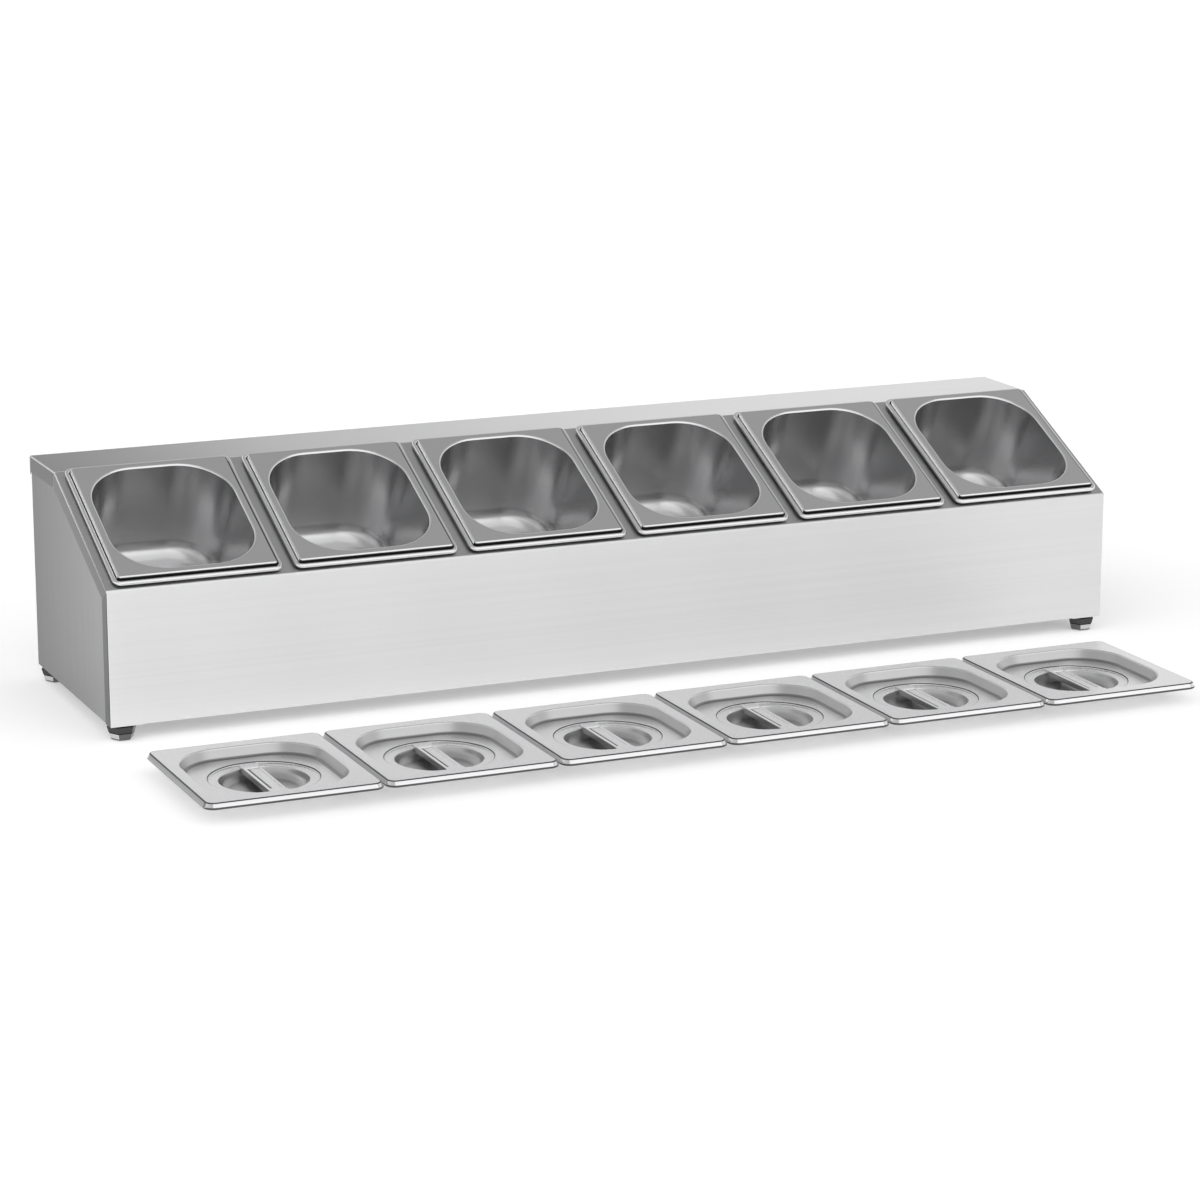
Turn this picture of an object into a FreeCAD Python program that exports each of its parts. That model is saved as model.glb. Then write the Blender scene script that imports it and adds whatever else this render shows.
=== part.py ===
import FreeCAD, Part
import math
import os
import Sketcher

# Counter-top topping rack: a folded steel body on levelling feet, with a sloped deck that
# holds a row of drop-in pans, and the pans' lids laid out in a row in front of it.
# Millimetres. +X runs along the rack, +Y from the lids to the rack's back, +Z up.
# The origin lies on the counter, below the middle of the rack and its lids.

# Driving dimensions
SIZES = {
    # Row of pans on the deck
    "pan_count": 6,
    "pan_gap": 11.0,
    "end_margin": 7.5,
    "deck_margin": 2.5,
    # Folded body
    "deck_angle": 25.5,
    "front_height": 127.5,
    "shelf_depth": 85.0,
    "panel_sheet": 1.0,
    "panel_fit": 0.3,
    "bend_radius": 1.0,
    "flap_width": 16.0,
    "flap_slit": 1.2,
    "flap_bend": 0.8,
    "return_width": 14.0,
    "rear_return": 18.0,
    # Corner brackets and levelling feet
    "bracket_side": 30.0,
    "bracket_ear": 16.0,
    "bracket_sheet": 2.0,
    "foot_inset": 12.5,
    "foot_flats": 25.0,
    "foot_body": 13.5,
    "foot_taper": 15.0,
    "foot_round": 2.0,
    "neck_height": 1.5,
    "neck_radius": 7.0,
    "stud_radius": 4.0,
    "stud_seat": 8.0,
    "stud_run": 12.0,
    "stud_play": 0.05,
    "nut_flats": 13.0,
    "nut_height": 6.5,
    # Pans: the rim has the standard outline, and a raised collar of the deck carries it
    "pan_width": 162.0,
    "pan_length": 176.0,
    "pan_depth": 100.0,
    "pan_sheet": 0.8,
    "pan_draft": 4.5,
    "pan_seat": 0.05,
    "floor_round": 18.0,
    "flange_width": 13.0,
    "mouth_corner": 48.0,
    "mouth_round": 4.0,
    "rim_corner": 8.0,
    "lip_gap": 1.5,
    "lip_height": 7.5,
    "bead_width": 4.5,
    "bead_drop": 3.0,
    "bead_round": 1.4,
    "collar_gap": 4.5,
    # Lids: the same outline as the pans' rims
    "lid_sheet": 0.8,
    "lid_corner": 10.0,
    "skirt_height": 6.0,
    "skirt_flare": 28.0,
    "lid_side_flange": 14.0,
    "lid_end_flange": 17.0,
    "recess_corner": 46.0,
    "recess_depth": 9.5,
    "recess_draft": 28.0,
    "recess_round": 2.0,
    "ring_diameter": 98.0,
    "ring_depth": 1.5,
    "well_diameter": 80.0,
    "well_depth": 9.5,
    "well_draft": 20.0,
    "well_round": 8.5,
    "bar_width": 17.0,
    "bar_sheet": 1.2,
    "bar_side": 4.0,
    "bar_end_gap": 2.0,
    "bar_side_gap": 3.0,
    "flute_edge": 3.0,
    "flute_depth": 0.5,
    # Row of lids in front of the rack
    "lid_row_gap": 104.0,
    "lid_row_shift": -31.0,
    "lid_gap": 1.5,
}

# Sizes that follow from the driving dimensions, as formulas on the sheet's cells
PITCH = "(Sizes.pan_width + Sizes.pan_gap)"
ROW = f"((Sizes.pan_count - 1) * {PITCH})"
LENGTH = f"({ROW} + Sizes.pan_width + 2 * Sizes.end_margin)"
SLOPE = "(Sizes.pan_length + 2 * Sizes.deck_margin)"
RUN = f"({SLOPE} * cos(Sizes.deck_angle))"
RISE = f"({SLOPE} * sin(Sizes.deck_angle))"
DEPTH = f"({RUN} + Sizes.shelf_depth)"
REAR_HEIGHT = f"(Sizes.front_height + {RISE})"
FOOT_HEIGHT = "(Sizes.foot_body + Sizes.neck_height)"
FRONT_Y = f"((Sizes.lid_row_gap + Sizes.pan_length - {DEPTH}) / 2)"
LID_Y = f"(-(Sizes.lid_row_gap + {DEPTH}) / 2)"
SEAT_Y = f"({SLOPE} / 2 * cos(Sizes.deck_angle))"
SEAT_Z = f"(Sizes.front_height + {SLOPE} / 2 * sin(Sizes.deck_angle))"
END_INNER = f"({LENGTH} / 2 - 2 * Sizes.panel_sheet)"
BACK_INNER = f"({DEPTH} - 2 * Sizes.panel_sheet)"
PANEL_INSET = "(Sizes.panel_sheet + Sizes.panel_fit)"
BRACKET_ZONE = "(Sizes.bracket_side + Sizes.panel_fit)"
RIM_TOP = "(Sizes.lip_gap + Sizes.lip_height)"
COLLAR_HEIGHT = f"({RIM_TOP} - Sizes.pan_sheet - Sizes.pan_seat)"
MOUTH_WIDTH = "(Sizes.pan_width - 2 * Sizes.flange_width)"
MOUTH_LENGTH = "(Sizes.pan_length - 2 * Sizes.flange_width)"
RECESS_WIDTH = "(Sizes.pan_width - 2 * Sizes.lid_side_flange)"
RECESS_LENGTH = "(Sizes.pan_length - 2 * Sizes.lid_end_flange)"
RING_LEVEL = "(Sizes.lid_sheet + Sizes.well_depth)"
RECESS_LEVEL = f"({RING_LEVEL} + Sizes.ring_depth)"
LID_TOP = f"({RECESS_LEVEL} + Sizes.recess_depth)"

X_AXIS = FreeCAD.Vector(1, 0, 0)
Z_AXIS = FreeCAD.Vector(0, 0, 1)
CLOCKWISE = FreeCAD.Vector(0, 0, -1)
TOLERANCE = 0.01
# The largest round on a folded edge, as a share of the sheet
SHEET_SHARE = 0.9

doc = FreeCAD.newDocument("topping_rack")
sheet = doc.addObject("Spreadsheet::Sheet", "Sizes")
for row, (alias, number) in enumerate(SIZES.items(), start=1):
    sheet.set(f"A{row}", alias)
    sheet.set(f"B{row}", str(number))
    sheet.setAlias(f"B{row}", alias)
doc.recompute()

parts = []


def value(formula):
    """The present value of a formula on the sheet's cells."""
    return float(sheet.evalExpression(formula))


def new_body(label):
    """Start a sub-part and keep it for the export."""
    body = doc.addObject("PartDesign::Body", label)
    body.Label = label
    parts.append(body)
    return body


def place(piece, x, y, z, axis=Z_AXIS, angle="0"):
    """Put a sub-part at a place and turn that follow the sheet."""
    spot = FreeCAD.Vector(value(x), value(y), value(z))
    piece.Placement = FreeCAD.Placement(spot, FreeCAD.Rotation(axis, value(angle)))
    piece.setExpression("Placement.Base.x", x)
    piece.setExpression("Placement.Base.y", y)
    piece.setExpression("Placement.Base.z", z)
    if angle != "0":
        piece.setExpression("Placement.Rotation.Angle", angle)


def place_on_rack(piece):
    """Put a body that is drawn from the front panel's lower edge on its feet."""
    place(piece, "0", FRONT_Y, FOOT_HEIGHT)


def new_sketch(body, role, name, x="0", y="0", z="0", axis=Z_AXIS, angle="0"):
    """A sketch on one of the body's own planes, shifted and turned in that plane's frame."""
    sketch = body.newObject("Sketcher::SketchObject", name)
    plane = next(item for item in body.Origin.OriginFeatures if item.Role == role)
    sketch.AttachmentSupport = [(plane, "")]
    sketch.MapMode = "FlatFace"
    shift = FreeCAD.Vector(value(x), value(y), value(z))
    sketch.AttachmentOffset = FreeCAD.Placement(shift, FreeCAD.Rotation(axis, value(angle)))
    sketch.setExpression("AttachmentOffset.Base.x", x)
    sketch.setExpression("AttachmentOffset.Base.y", y)
    sketch.setExpression("AttachmentOffset.Base.z", z)
    if angle != "0":
        sketch.setExpression("AttachmentOffset.Rotation.Angle", angle)
    return sketch


def measure(sketch, kind, *where, size):
    """Add a sized constraint and tie it to the sheet."""
    number = value(size)
    if kind == "Angle":
        number = math.radians(number)
    index = sketch.addConstraint(Sketcher.Constraint(kind, *where, number))
    sketch.setExpression(f"Constraints[{index}]", size)


def polygon(sketch, corners):
    """Draw a closed outline through the corners and return its first line's number."""
    first = sketch.GeometryCount
    count = len(corners)
    points = [FreeCAD.Vector(value(x), value(y), 0) for x, y in corners]
    for index in range(count):
        sketch.addGeometry(Part.LineSegment(points[index], points[(index + 1) % count]), False)
    for index in range(count):
        following = first + (index + 1) % count
        sketch.addConstraint(Sketcher.Constraint("Coincident", first + index, 2, following, 1))
    return first


def rectangle(sketch, left, right, low, high):
    """Draw an upright rectangle between four sized sides."""
    first = polygon(sketch, [(left, low), (right, low), (right, high), (left, high)])
    for line in (first, first + 2):
        sketch.addConstraint(Sketcher.Constraint("Horizontal", line))
    for line in (first + 1, first + 3):
        sketch.addConstraint(Sketcher.Constraint("Vertical", line))
    measure(sketch, "DistanceX", -1, 1, first, 1, size=left)
    measure(sketch, "DistanceX", -1, 1, first, 2, size=right)
    measure(sketch, "DistanceY", -1, 1, first, 1, size=low)
    measure(sketch, "DistanceY", -1, 1, first + 2, 1, size=high)


def rounded_rectangle(sketch, width, length, corner):
    """Draw a rectangle with round corners about the sketch's origin."""
    first = sketch.GeometryCount
    x, y, radius = value(width) / 2, value(length) / 2, value(corner)
    ends = [(-x + radius, -y), (x - radius, -y), (x, -y + radius), (x, y - radius)]
    ends += [(-a, -b) for a, b in ends]
    for index in range(0, 8, 2):
        start, stop = ends[index], ends[index + 1]
        sketch.addGeometry(Part.LineSegment(FreeCAD.Vector(*start), FreeCAD.Vector(*stop)), False)
    for index, (side_x, side_y) in enumerate([(1, -1), (1, 1), (-1, 1), (-1, -1)]):
        centre = FreeCAD.Vector(side_x * (x - radius), side_y * (y - radius), 0)
        turn = math.pi / 2 * (index - 1)
        circle = Part.Circle(centre, Z_AXIS, radius)
        sketch.addGeometry(Part.ArcOfCircle(circle, turn, turn + math.pi / 2), False)
    for index in range(4):
        line, arc, following = first + index, first + 4 + index, first + (index + 1) % 4
        sketch.addConstraint(Sketcher.Constraint("Tangent", line, 2, arc, 1))
        sketch.addConstraint(Sketcher.Constraint("Tangent", arc, 2, following, 1))
        direction = "Vertical" if index % 2 else "Horizontal"
        sketch.addConstraint(Sketcher.Constraint(direction, line))
    for arc in range(first + 5, first + 8):
        sketch.addConstraint(Sketcher.Constraint("Equal", first + 4, arc))
    sketch.addConstraint(Sketcher.Constraint("Symmetric", first, 1, first + 2, 1, -1, 1))
    measure(sketch, "DistanceX", first + 3, 1, first + 1, 1, size=width)
    measure(sketch, "DistanceY", first, 1, first + 2, 1, size=length)
    measure(sketch, "Radius", first + 4, size=corner)


def hexagon(sketch, flats):
    """Draw a hexagon about the sketch's origin, with two flats across Y."""
    radius = value(flats) / math.sqrt(3)
    points = [FreeCAD.Vector(radius, 0, 0)]
    for index in range(1, 7):
        turn = math.pi / 3 * index
        points.append(FreeCAD.Vector(radius * math.cos(turn), radius * math.sin(turn), 0))
        sketch.addGeometry(Part.LineSegment(points[index - 1], points[index]), False)
    sketch.addGeometry(Part.Circle(FreeCAD.Vector(), Z_AXIS, radius), True)
    for index in range(6):
        sketch.addConstraint(Sketcher.Constraint("Coincident", index, 2, (index + 1) % 6, 1))
        sketch.addConstraint(Sketcher.Constraint("PointOnObject", index, 1, 6))
    for index in range(1, 6):
        sketch.addConstraint(Sketcher.Constraint("Equal", 0, index))
    sketch.addConstraint(Sketcher.Constraint("Coincident", 6, 3, -1, 1))
    sketch.addConstraint(Sketcher.Constraint("Horizontal", 1))
    measure(sketch, "Radius", 6, size=f"{flats} / sqrt(3)")


def circle_at(sketch, x, y, radius):
    """Draw a sized circle at a sized place."""
    centre = FreeCAD.Vector(value(x), value(y), 0)
    index = sketch.addGeometry(Part.Circle(centre, Z_AXIS, value(radius)), False)
    measure(sketch, "DistanceX", -1, 1, index, 3, size=x)
    measure(sketch, "DistanceY", -1, 1, index, 3, size=y)
    measure(sketch, "Radius", index, size=radius)


def extrude(body, kind, sketch, length, taper=None, back=False, both=False):
    """Add a Pad or cut a Pocket of the sketch; back turns it the other way round."""
    feature = body.newObject(f"PartDesign::{kind}", f"{sketch.Name}{kind}")
    feature.Profile = sketch
    feature.Length = value(length)
    feature.setExpression("Length", length)
    feature.Reversed = back
    if both:
        feature.SideType = "Symmetric"
    if taper:
        feature.TaperAngle = value(taper)
        feature.setExpression("TaperAngle", taper)
    before = body.Shape.Volume if kind == "Pocket" else 0
    doc.recompute()
    if kind == "Pocket" and feature.Shape.Volume > before - TOLERANCE:
        raise RuntimeError(f"{feature.Label} of {body.Label} cuts nothing")
    return feature


def round_edges(body, name, radius, test):
    """Round the edges of the body whose points all pass the test."""
    base = body.Tip
    chosen = []
    for number, edge in enumerate(base.Shape.Edges, start=1):
        if all(test(point) for point in edge.discretize(5)):
            chosen.append(f"Edge{number}")
    if not chosen:
        raise RuntimeError(f"{name} of {body.Label} finds no edge")
    fillet = body.newObject("PartDesign::Fillet", name)
    fillet.Base = (base, chosen)
    fillet.Radius = value(radius)
    fillet.setExpression("Radius", radius)
    doc.recompute()
    return fillet


def at_height(formula):
    """A test for points at one height."""
    level = value(formula)
    return lambda point: abs(point.z - level) < TOLERANCE


def at_height_within(formula, width, length):
    """A test for points at one height, inside a rectangle about the Z axis."""
    level, x, y = value(formula), value(width) / 2, value(length) / 2
    inside = lambda point: abs(point.x) < x + TOLERANCE and abs(point.y) < y + TOLERANCE
    return lambda point: abs(point.z - level) < TOLERANCE and inside(point)


def along_bend(y, z):
    """A test for points on one bend line, which runs along X."""
    bend_y, bend_z = value(y), value(z)
    return lambda point: math.hypot(point.y - bend_y, point.z - bend_z) < TOLERANCE


def copy_of(master, label):
    """A further sub-part with the same shape as the first of its kind."""
    body = new_body(label)
    copy = doc.addObject("PartDesign::FeatureBase", f"{label}_copy")
    body.Group = [copy]
    copy.BaseFeature = master
    body.Tip = copy
    return body


def folded_band(sketch, width):
    """Draw a band of one width inside the lines of the front panel, the deck and the shelf."""
    front_drop = f"{width} * (1 - sin(Sizes.deck_angle)) / cos(Sizes.deck_angle)"
    shelf_shift = f"{width} * tan(Sizes.deck_angle / 2)"
    corners = [
        ("0", "0"),
        ("0", "Sizes.front_height"),
        (RUN, REAR_HEIGHT),
        (DEPTH, REAR_HEIGHT),
        (DEPTH, f"{REAR_HEIGHT} - {width}"),
        (f"{RUN} + {shelf_shift}", f"{REAR_HEIGHT} - {width}"),
        (width, f"Sizes.front_height - {front_drop}"),
        (width, "0"),
    ]
    front = polygon(sketch, corners)
    deck, shelf, rear_end, shelf_in, deck_in, front_in, foot_end = range(front + 1, front + 8)
    for line in (front, rear_end, front_in):
        sketch.addConstraint(Sketcher.Constraint("Vertical", line))
    for line in (shelf, shelf_in, foot_end):
        sketch.addConstraint(Sketcher.Constraint("Horizontal", line))
    sketch.addConstraint(Sketcher.Constraint("Parallel", deck_in, deck))
    sketch.addConstraint(Sketcher.Constraint("Coincident", front, 1, -1, 1))
    measure(sketch, "DistanceY", front, 1, front, 2, size="Sizes.front_height")
    measure(sketch, "Distance", deck, size=SLOPE)
    measure(sketch, "Angle", deck, size="Sizes.deck_angle")
    measure(sketch, "DistanceX", shelf, 1, shelf, 2, size="Sizes.shelf_depth")
    measure(sketch, "DistanceY", rear_end, 2, rear_end, 1, size=width)
    measure(sketch, "Distance", deck_in, 1, deck, size=width)
    measure(sketch, "DistanceX", foot_end, 2, foot_end, 1, size=width)


def make_deck_shell():
    """One folded sheet: front panel, sloped deck with collared cut-outs, shelf and end flaps."""
    shell = new_body("deck_shell")
    fold = new_sketch(shell, "YZ_Plane", "ShellFold")
    folded_band(fold, "Sizes.panel_sheet")
    extrude(shell, "Pad", fold, LENGTH, both=True)

    rear = new_sketch(shell, "YZ_Plane", "ShellRearReturn")
    rear_inner = f"{DEPTH} - Sizes.panel_sheet"
    rectangle(rear, rear_inner, DEPTH, f"{REAR_HEIGHT} - Sizes.rear_return", REAR_HEIGHT)
    extrude(shell, "Pad", rear, LENGTH, both=True)

    lower = new_sketch(shell, "YZ_Plane", "ShellLowerReturn")
    rectangle(lower, "0", "Sizes.return_width", "0", "Sizes.panel_sheet")
    extrude(shell, "Pad", lower, f"2 * ({END_INNER} - {BRACKET_ZONE})", both=True)

    bends = [("0", "Sizes.front_height"), (RUN, REAR_HEIGHT), (DEPTH, REAR_HEIGHT)]
    tests = [along_bend(y, z) for y, z in bends]
    outer_radius = "Sizes.bend_radius + Sizes.panel_sheet"
    round_edges(shell, "ShellBends", outer_radius, lambda point: any(t(point) for t in tests))

    end_face = f"-{LENGTH} / 2"
    flaps = new_sketch(shell, "YZ_Plane", "ShellFlaps", z=end_face)
    folded_band(flaps, "Sizes.flap_width")
    flap_pad = extrude(shell, "Pad", flaps, "Sizes.panel_sheet")

    slits = [("0", "Sizes.front_height", "(90 - Sizes.deck_angle) / 2")]
    slits.append((RUN, REAR_HEIGHT, "90 - Sizes.deck_angle / 2"))
    mirrored = [flap_pad]
    for index, (y, z, turn) in enumerate(slits):
        name = f"ShellSlit{index}"
        slit = new_sketch(shell, "YZ_Plane", name, y, z, end_face, CLOCKWISE, turn)
        start = "3 * Sizes.panel_sheet"
        half = "Sizes.flap_slit / 2"
        rectangle(slit, start, "2 * Sizes.flap_width", f"-{half}", half)
        mirrored.append(extrude(shell, "Pocket", slit, "Sizes.panel_sheet", back=True))
    other_end = shell.newObject("PartDesign::Mirrored", "ShellOtherEnd")
    other_end.Originals = mirrored
    middle = next(item for item in shell.Origin.OriginFeatures if item.Role == "YZ_Plane")
    other_end.MirrorPlane = (middle, [""])
    shell.Tip = other_end
    doc.recompute()

    end, front, top = value(f"{LENGTH} / 2"), value("Sizes.front_height"), value(REAR_HEIGHT)
    run, rise, slope = value(RUN), value(RISE), value(SLOPE)

    def on_end_bend(point):
        """Whether a point lies on the outer line of an end, where a flap is folded."""
        on_end = abs(abs(point.x) - end) < TOLERANCE
        on_front = abs(point.y) < TOLERANCE
        on_deck = abs((point.z - front) * run - point.y * rise) < TOLERANCE * slope
        on_shelf = abs(point.z - top) < TOLERANCE
        return on_end and (on_front or on_deck or on_shelf)

    flap_round = f"min(Sizes.flap_bend; {SHEET_SHARE} * Sizes.panel_sheet)"
    round_edges(shell, "ShellEndBends", flap_round, on_end_bend)

    seat = {"x": f"-{ROW} / 2", "y": SEAT_Y, "z": SEAT_Z}
    seat.update(axis=X_AXIS, angle="Sizes.deck_angle")
    gap = "Sizes.pan_sheet + Sizes.collar_gap"
    hole_width = f"{MOUTH_WIDTH} + 2 * ({gap})"
    hole_length = f"{MOUTH_LENGTH} + 2 * ({gap})"
    hole_corner = f"Sizes.mouth_corner + {gap}"
    collar = new_sketch(shell, "XY_Plane", "ShellCollar", **seat)
    walls = "2 * Sizes.panel_sheet"
    collar_corner = f"{hole_corner} + Sizes.panel_sheet"
    rounded_rectangle(collar, f"{hole_width} + {walls}", f"{hole_length} + {walls}", collar_corner)
    collar_pad = extrude(shell, "Pad", collar, COLLAR_HEIGHT)
    hole = new_sketch(shell, "XY_Plane", "ShellCutout", **seat)
    rounded_rectangle(hole, hole_width, hole_length, hole_corner)
    cut = extrude(shell, "Pocket", hole, f"2 * ({COLLAR_HEIGHT} + Sizes.panel_sheet)", both=True)
    row = shell.newObject("PartDesign::LinearPattern", "ShellRow")
    row.Originals = [collar_pad, cut]
    row.Direction = (hole, ["H_Axis"])
    row.setExpression("Length", ROW)
    row.setExpression("Occurrences", "Sizes.pan_count")
    shell.Tip = row
    doc.recompute()
    place_on_rack(shell)


def make_end_panel(label, outer_x, inward):
    """A flat end panel inside the flaps, with a lower return and a rear return."""
    panel = new_body(label)
    inset = PANEL_INSET
    front_drop = f"{inset} * (1 - sin(Sizes.deck_angle)) / cos(Sizes.deck_angle)"
    front_top = f"Sizes.front_height - {front_drop}"
    shelf_start = f"{RUN} + {inset} * tan(Sizes.deck_angle / 2)"
    top = f"{REAR_HEIGHT} - {inset}"
    outline = new_sketch(panel, "YZ_Plane", f"{label}_outline", z=outer_x)
    corners = [(inset, "0"), (BACK_INNER, "0"), (BACK_INNER, top)]
    corners += [(shelf_start, top), (inset, front_top)]
    lower = polygon(outline, corners)
    rear, shelf, front = lower + 1, lower + 2, lower + 4
    for line in (lower, shelf):
        outline.addConstraint(Sketcher.Constraint("Horizontal", line))
    for line in (rear, front):
        outline.addConstraint(Sketcher.Constraint("Vertical", line))
    outline.addConstraint(Sketcher.Constraint("PointOnObject", lower, 1, -1))
    measure(outline, "DistanceX", -1, 1, lower, 1, size=inset)
    measure(outline, "DistanceX", -1, 1, lower, 2, size=BACK_INNER)
    measure(outline, "DistanceY", lower, 2, rear, 2, size=top)
    measure(outline, "DistanceY", front, 2, front, 1, size=front_top)
    measure(outline, "DistanceX", -1, 1, shelf, 2, size=shelf_start)
    extrude(panel, "Pad", outline, "Sizes.panel_sheet", back=inward < 0)

    inner_face = f"{outer_x} + {inward} * Sizes.panel_sheet"
    flange_edge = f"{outer_x} + {inward} * Sizes.return_width"
    left, right = (inner_face, flange_edge) if inward > 0 else (flange_edge, inner_face)
    lower_return = new_sketch(panel, "XY_Plane", f"{label}_lower_return")
    low, high = f"Sizes.panel_sheet + {BRACKET_ZONE}", f"{BACK_INNER} - {BRACKET_ZONE}"
    rectangle(lower_return, left, right, low, high)
    extrude(panel, "Pad", lower_return, "Sizes.panel_sheet")
    level = "Sizes.bracket_ear + Sizes.flap_width"
    rear_return = new_sketch(panel, "XY_Plane", f"{label}_rear_return", z=level)
    rectangle(rear_return, left, right, f"{BACK_INNER} - Sizes.panel_sheet", BACK_INNER)
    run = f"{top} - Sizes.bracket_ear - 2 * Sizes.flap_width"
    extrude(panel, "Pad", rear_return, run)
    place_on_rack(panel)


def make_back_panel():
    """A flat back panel inside the shelf's rear return, with a lower return."""
    panel = new_body("back_panel")
    half = f"{LENGTH} / 2 - Sizes.panel_sheet"
    top = f"{REAR_HEIGHT} - Sizes.panel_sheet - Sizes.bend_radius - Sizes.panel_fit"
    outline = new_sketch(panel, "XZ_Plane", "BackOutline", z=f"-({DEPTH} - Sizes.panel_sheet)")
    rectangle(outline, f"-({half})", half, "0", top)
    extrude(panel, "Pad", outline, "Sizes.panel_sheet")
    lower = new_sketch(panel, "YZ_Plane", "BackLowerReturn")
    rectangle(lower, f"{BACK_INNER} - Sizes.return_width", BACK_INNER, "0", "Sizes.panel_sheet")
    extrude(panel, "Pad", lower, f"2 * ({END_INNER} - {BRACKET_ZONE})", both=True)
    place_on_rack(panel)


def make_bracket(label, x, y, turn):
    """A corner bracket: a plate with a hole for the stud and two ears up the panels."""
    bracket = new_body(label)
    side, thick = "Sizes.bracket_side", "Sizes.bracket_sheet"
    plate = new_sketch(bracket, "XY_Plane", f"{label}_plate")
    rectangle(plate, "0", side, "0", side)
    extrude(bracket, "Pad", plate, thick)
    ears = new_sketch(bracket, "XY_Plane", f"{label}_ears")
    corners = [("0", "0"), (side, "0"), (side, thick), (thick, thick), (thick, side), ("0", side)]
    first = polygon(ears, corners)
    for line in (first, first + 2, first + 4):
        ears.addConstraint(Sketcher.Constraint("Horizontal", line))
    for line in (first + 1, first + 3, first + 5):
        ears.addConstraint(Sketcher.Constraint("Vertical", line))
    ears.addConstraint(Sketcher.Constraint("Coincident", first, 1, -1, 1))
    measure(ears, "DistanceX", first, 1, first, 2, size=side)
    measure(ears, "DistanceY", first + 5, 2, first + 5, 1, size=side)
    measure(ears, "DistanceY", first + 1, 1, first + 1, 2, size=thick)
    measure(ears, "DistanceX", first + 4, 2, first + 4, 1, size=thick)
    extrude(bracket, "Pad", ears, "Sizes.bracket_ear")
    hole = new_sketch(bracket, "XY_Plane", f"{label}_hole")
    circle_at(hole, "Sizes.foot_inset", "Sizes.foot_inset", "Sizes.stud_radius + Sizes.stud_play")
    extrude(bracket, "Pocket", hole, thick, back=True)
    place(bracket, x, f"{FRONT_Y} + {y}", FOOT_HEIGHT, Z_AXIS, turn)


def make_foot(label, x, y):
    """A hexagonal foot that tapers to a rounded lower edge, under a round neck."""
    foot = new_body(label)
    body_outline = new_sketch(foot, "XY_Plane", f"{label}_body", z="Sizes.foot_body")
    hexagon(body_outline, "Sizes.foot_flats")
    extrude(foot, "Pad", body_outline, "Sizes.foot_body", taper="-Sizes.foot_taper", back=True)
    round_edges(foot, f"{label}_round", "Sizes.foot_round", at_height("0"))
    neck = new_sketch(foot, "XY_Plane", f"{label}_neck", z="Sizes.foot_body")
    circle_at(neck, "0", "0", "Sizes.neck_radius")
    extrude(foot, "Pad", neck, "Sizes.neck_height")
    socket = new_sketch(foot, "XY_Plane", f"{label}_socket", z=FOOT_HEIGHT)
    circle_at(socket, "0", "0", "Sizes.stud_radius")
    extrude(foot, "Pocket", socket, "Sizes.stud_seat")
    place(foot, x, y, "0")


def make_stud(label, x, y):
    """A plain round stud, seated in its foot, that runs up through the bracket and its nut."""
    stud = doc.addObject("Part::Cylinder", label)
    stud.Label = label
    stud.setExpression("Radius", "Sizes.stud_radius")
    stud.setExpression("Height", "Sizes.stud_seat + Sizes.stud_run")
    place(stud, x, y, f"{FOOT_HEIGHT} - Sizes.stud_seat")
    parts.append(stud)


def make_nut(label, x, y):
    """One weld nut on top of its bracket's plate."""
    hexagon_block = doc.addObject("Part::Prism", f"{label}_block")
    hexagon_block.Polygon = 6
    hexagon_block.setExpression("Circumradius", "Sizes.nut_flats / sqrt(3)")
    hexagon_block.setExpression("Height", "Sizes.nut_height")
    bore = doc.addObject("Part::Cylinder", f"{label}_bore")
    bore.setExpression("Radius", "Sizes.stud_radius + Sizes.stud_play")
    bore.setExpression("Height", "Sizes.nut_height")
    nut = doc.addObject("Part::Cut", label)
    nut.Base = hexagon_block
    nut.Tool = bore
    place(nut, x, y, f"{FOOT_HEIGHT} + Sizes.bracket_sheet")
    return nut


def make_corners():
    """Bracket, nut, foot and stud at each corner of the rack."""
    corners = {
        "front_left": (-1, 1, "0"),
        "front_right": (1, 1, "90"),
        "rear_right": (1, -1, "180"),
        "rear_left": (-1, -1, "270"),
    }
    nuts = []
    for name, (side, inward, turn) in corners.items():
        corner_x = f"{side} * {END_INNER}"
        corner_y = "Sizes.panel_sheet" if inward > 0 else BACK_INNER
        axis_x = f"{corner_x} - {side} * Sizes.foot_inset"
        axis_y = f"{FRONT_Y} + {corner_y} + {inward} * Sizes.foot_inset"
        make_bracket(f"foot_bracket_{name}", corner_x, corner_y, turn)
        make_foot(f"foot_{name}", axis_x, axis_y)
        make_stud(f"foot_stud_{name}", axis_x, axis_y)
        nuts.append(make_nut(f"nut_{name}", axis_x, axis_y))
    group = doc.addObject("Part::Compound", "foot_nuts")
    group.Label = "foot_nuts"
    group.Links = nuts
    parts.append(group)


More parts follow.
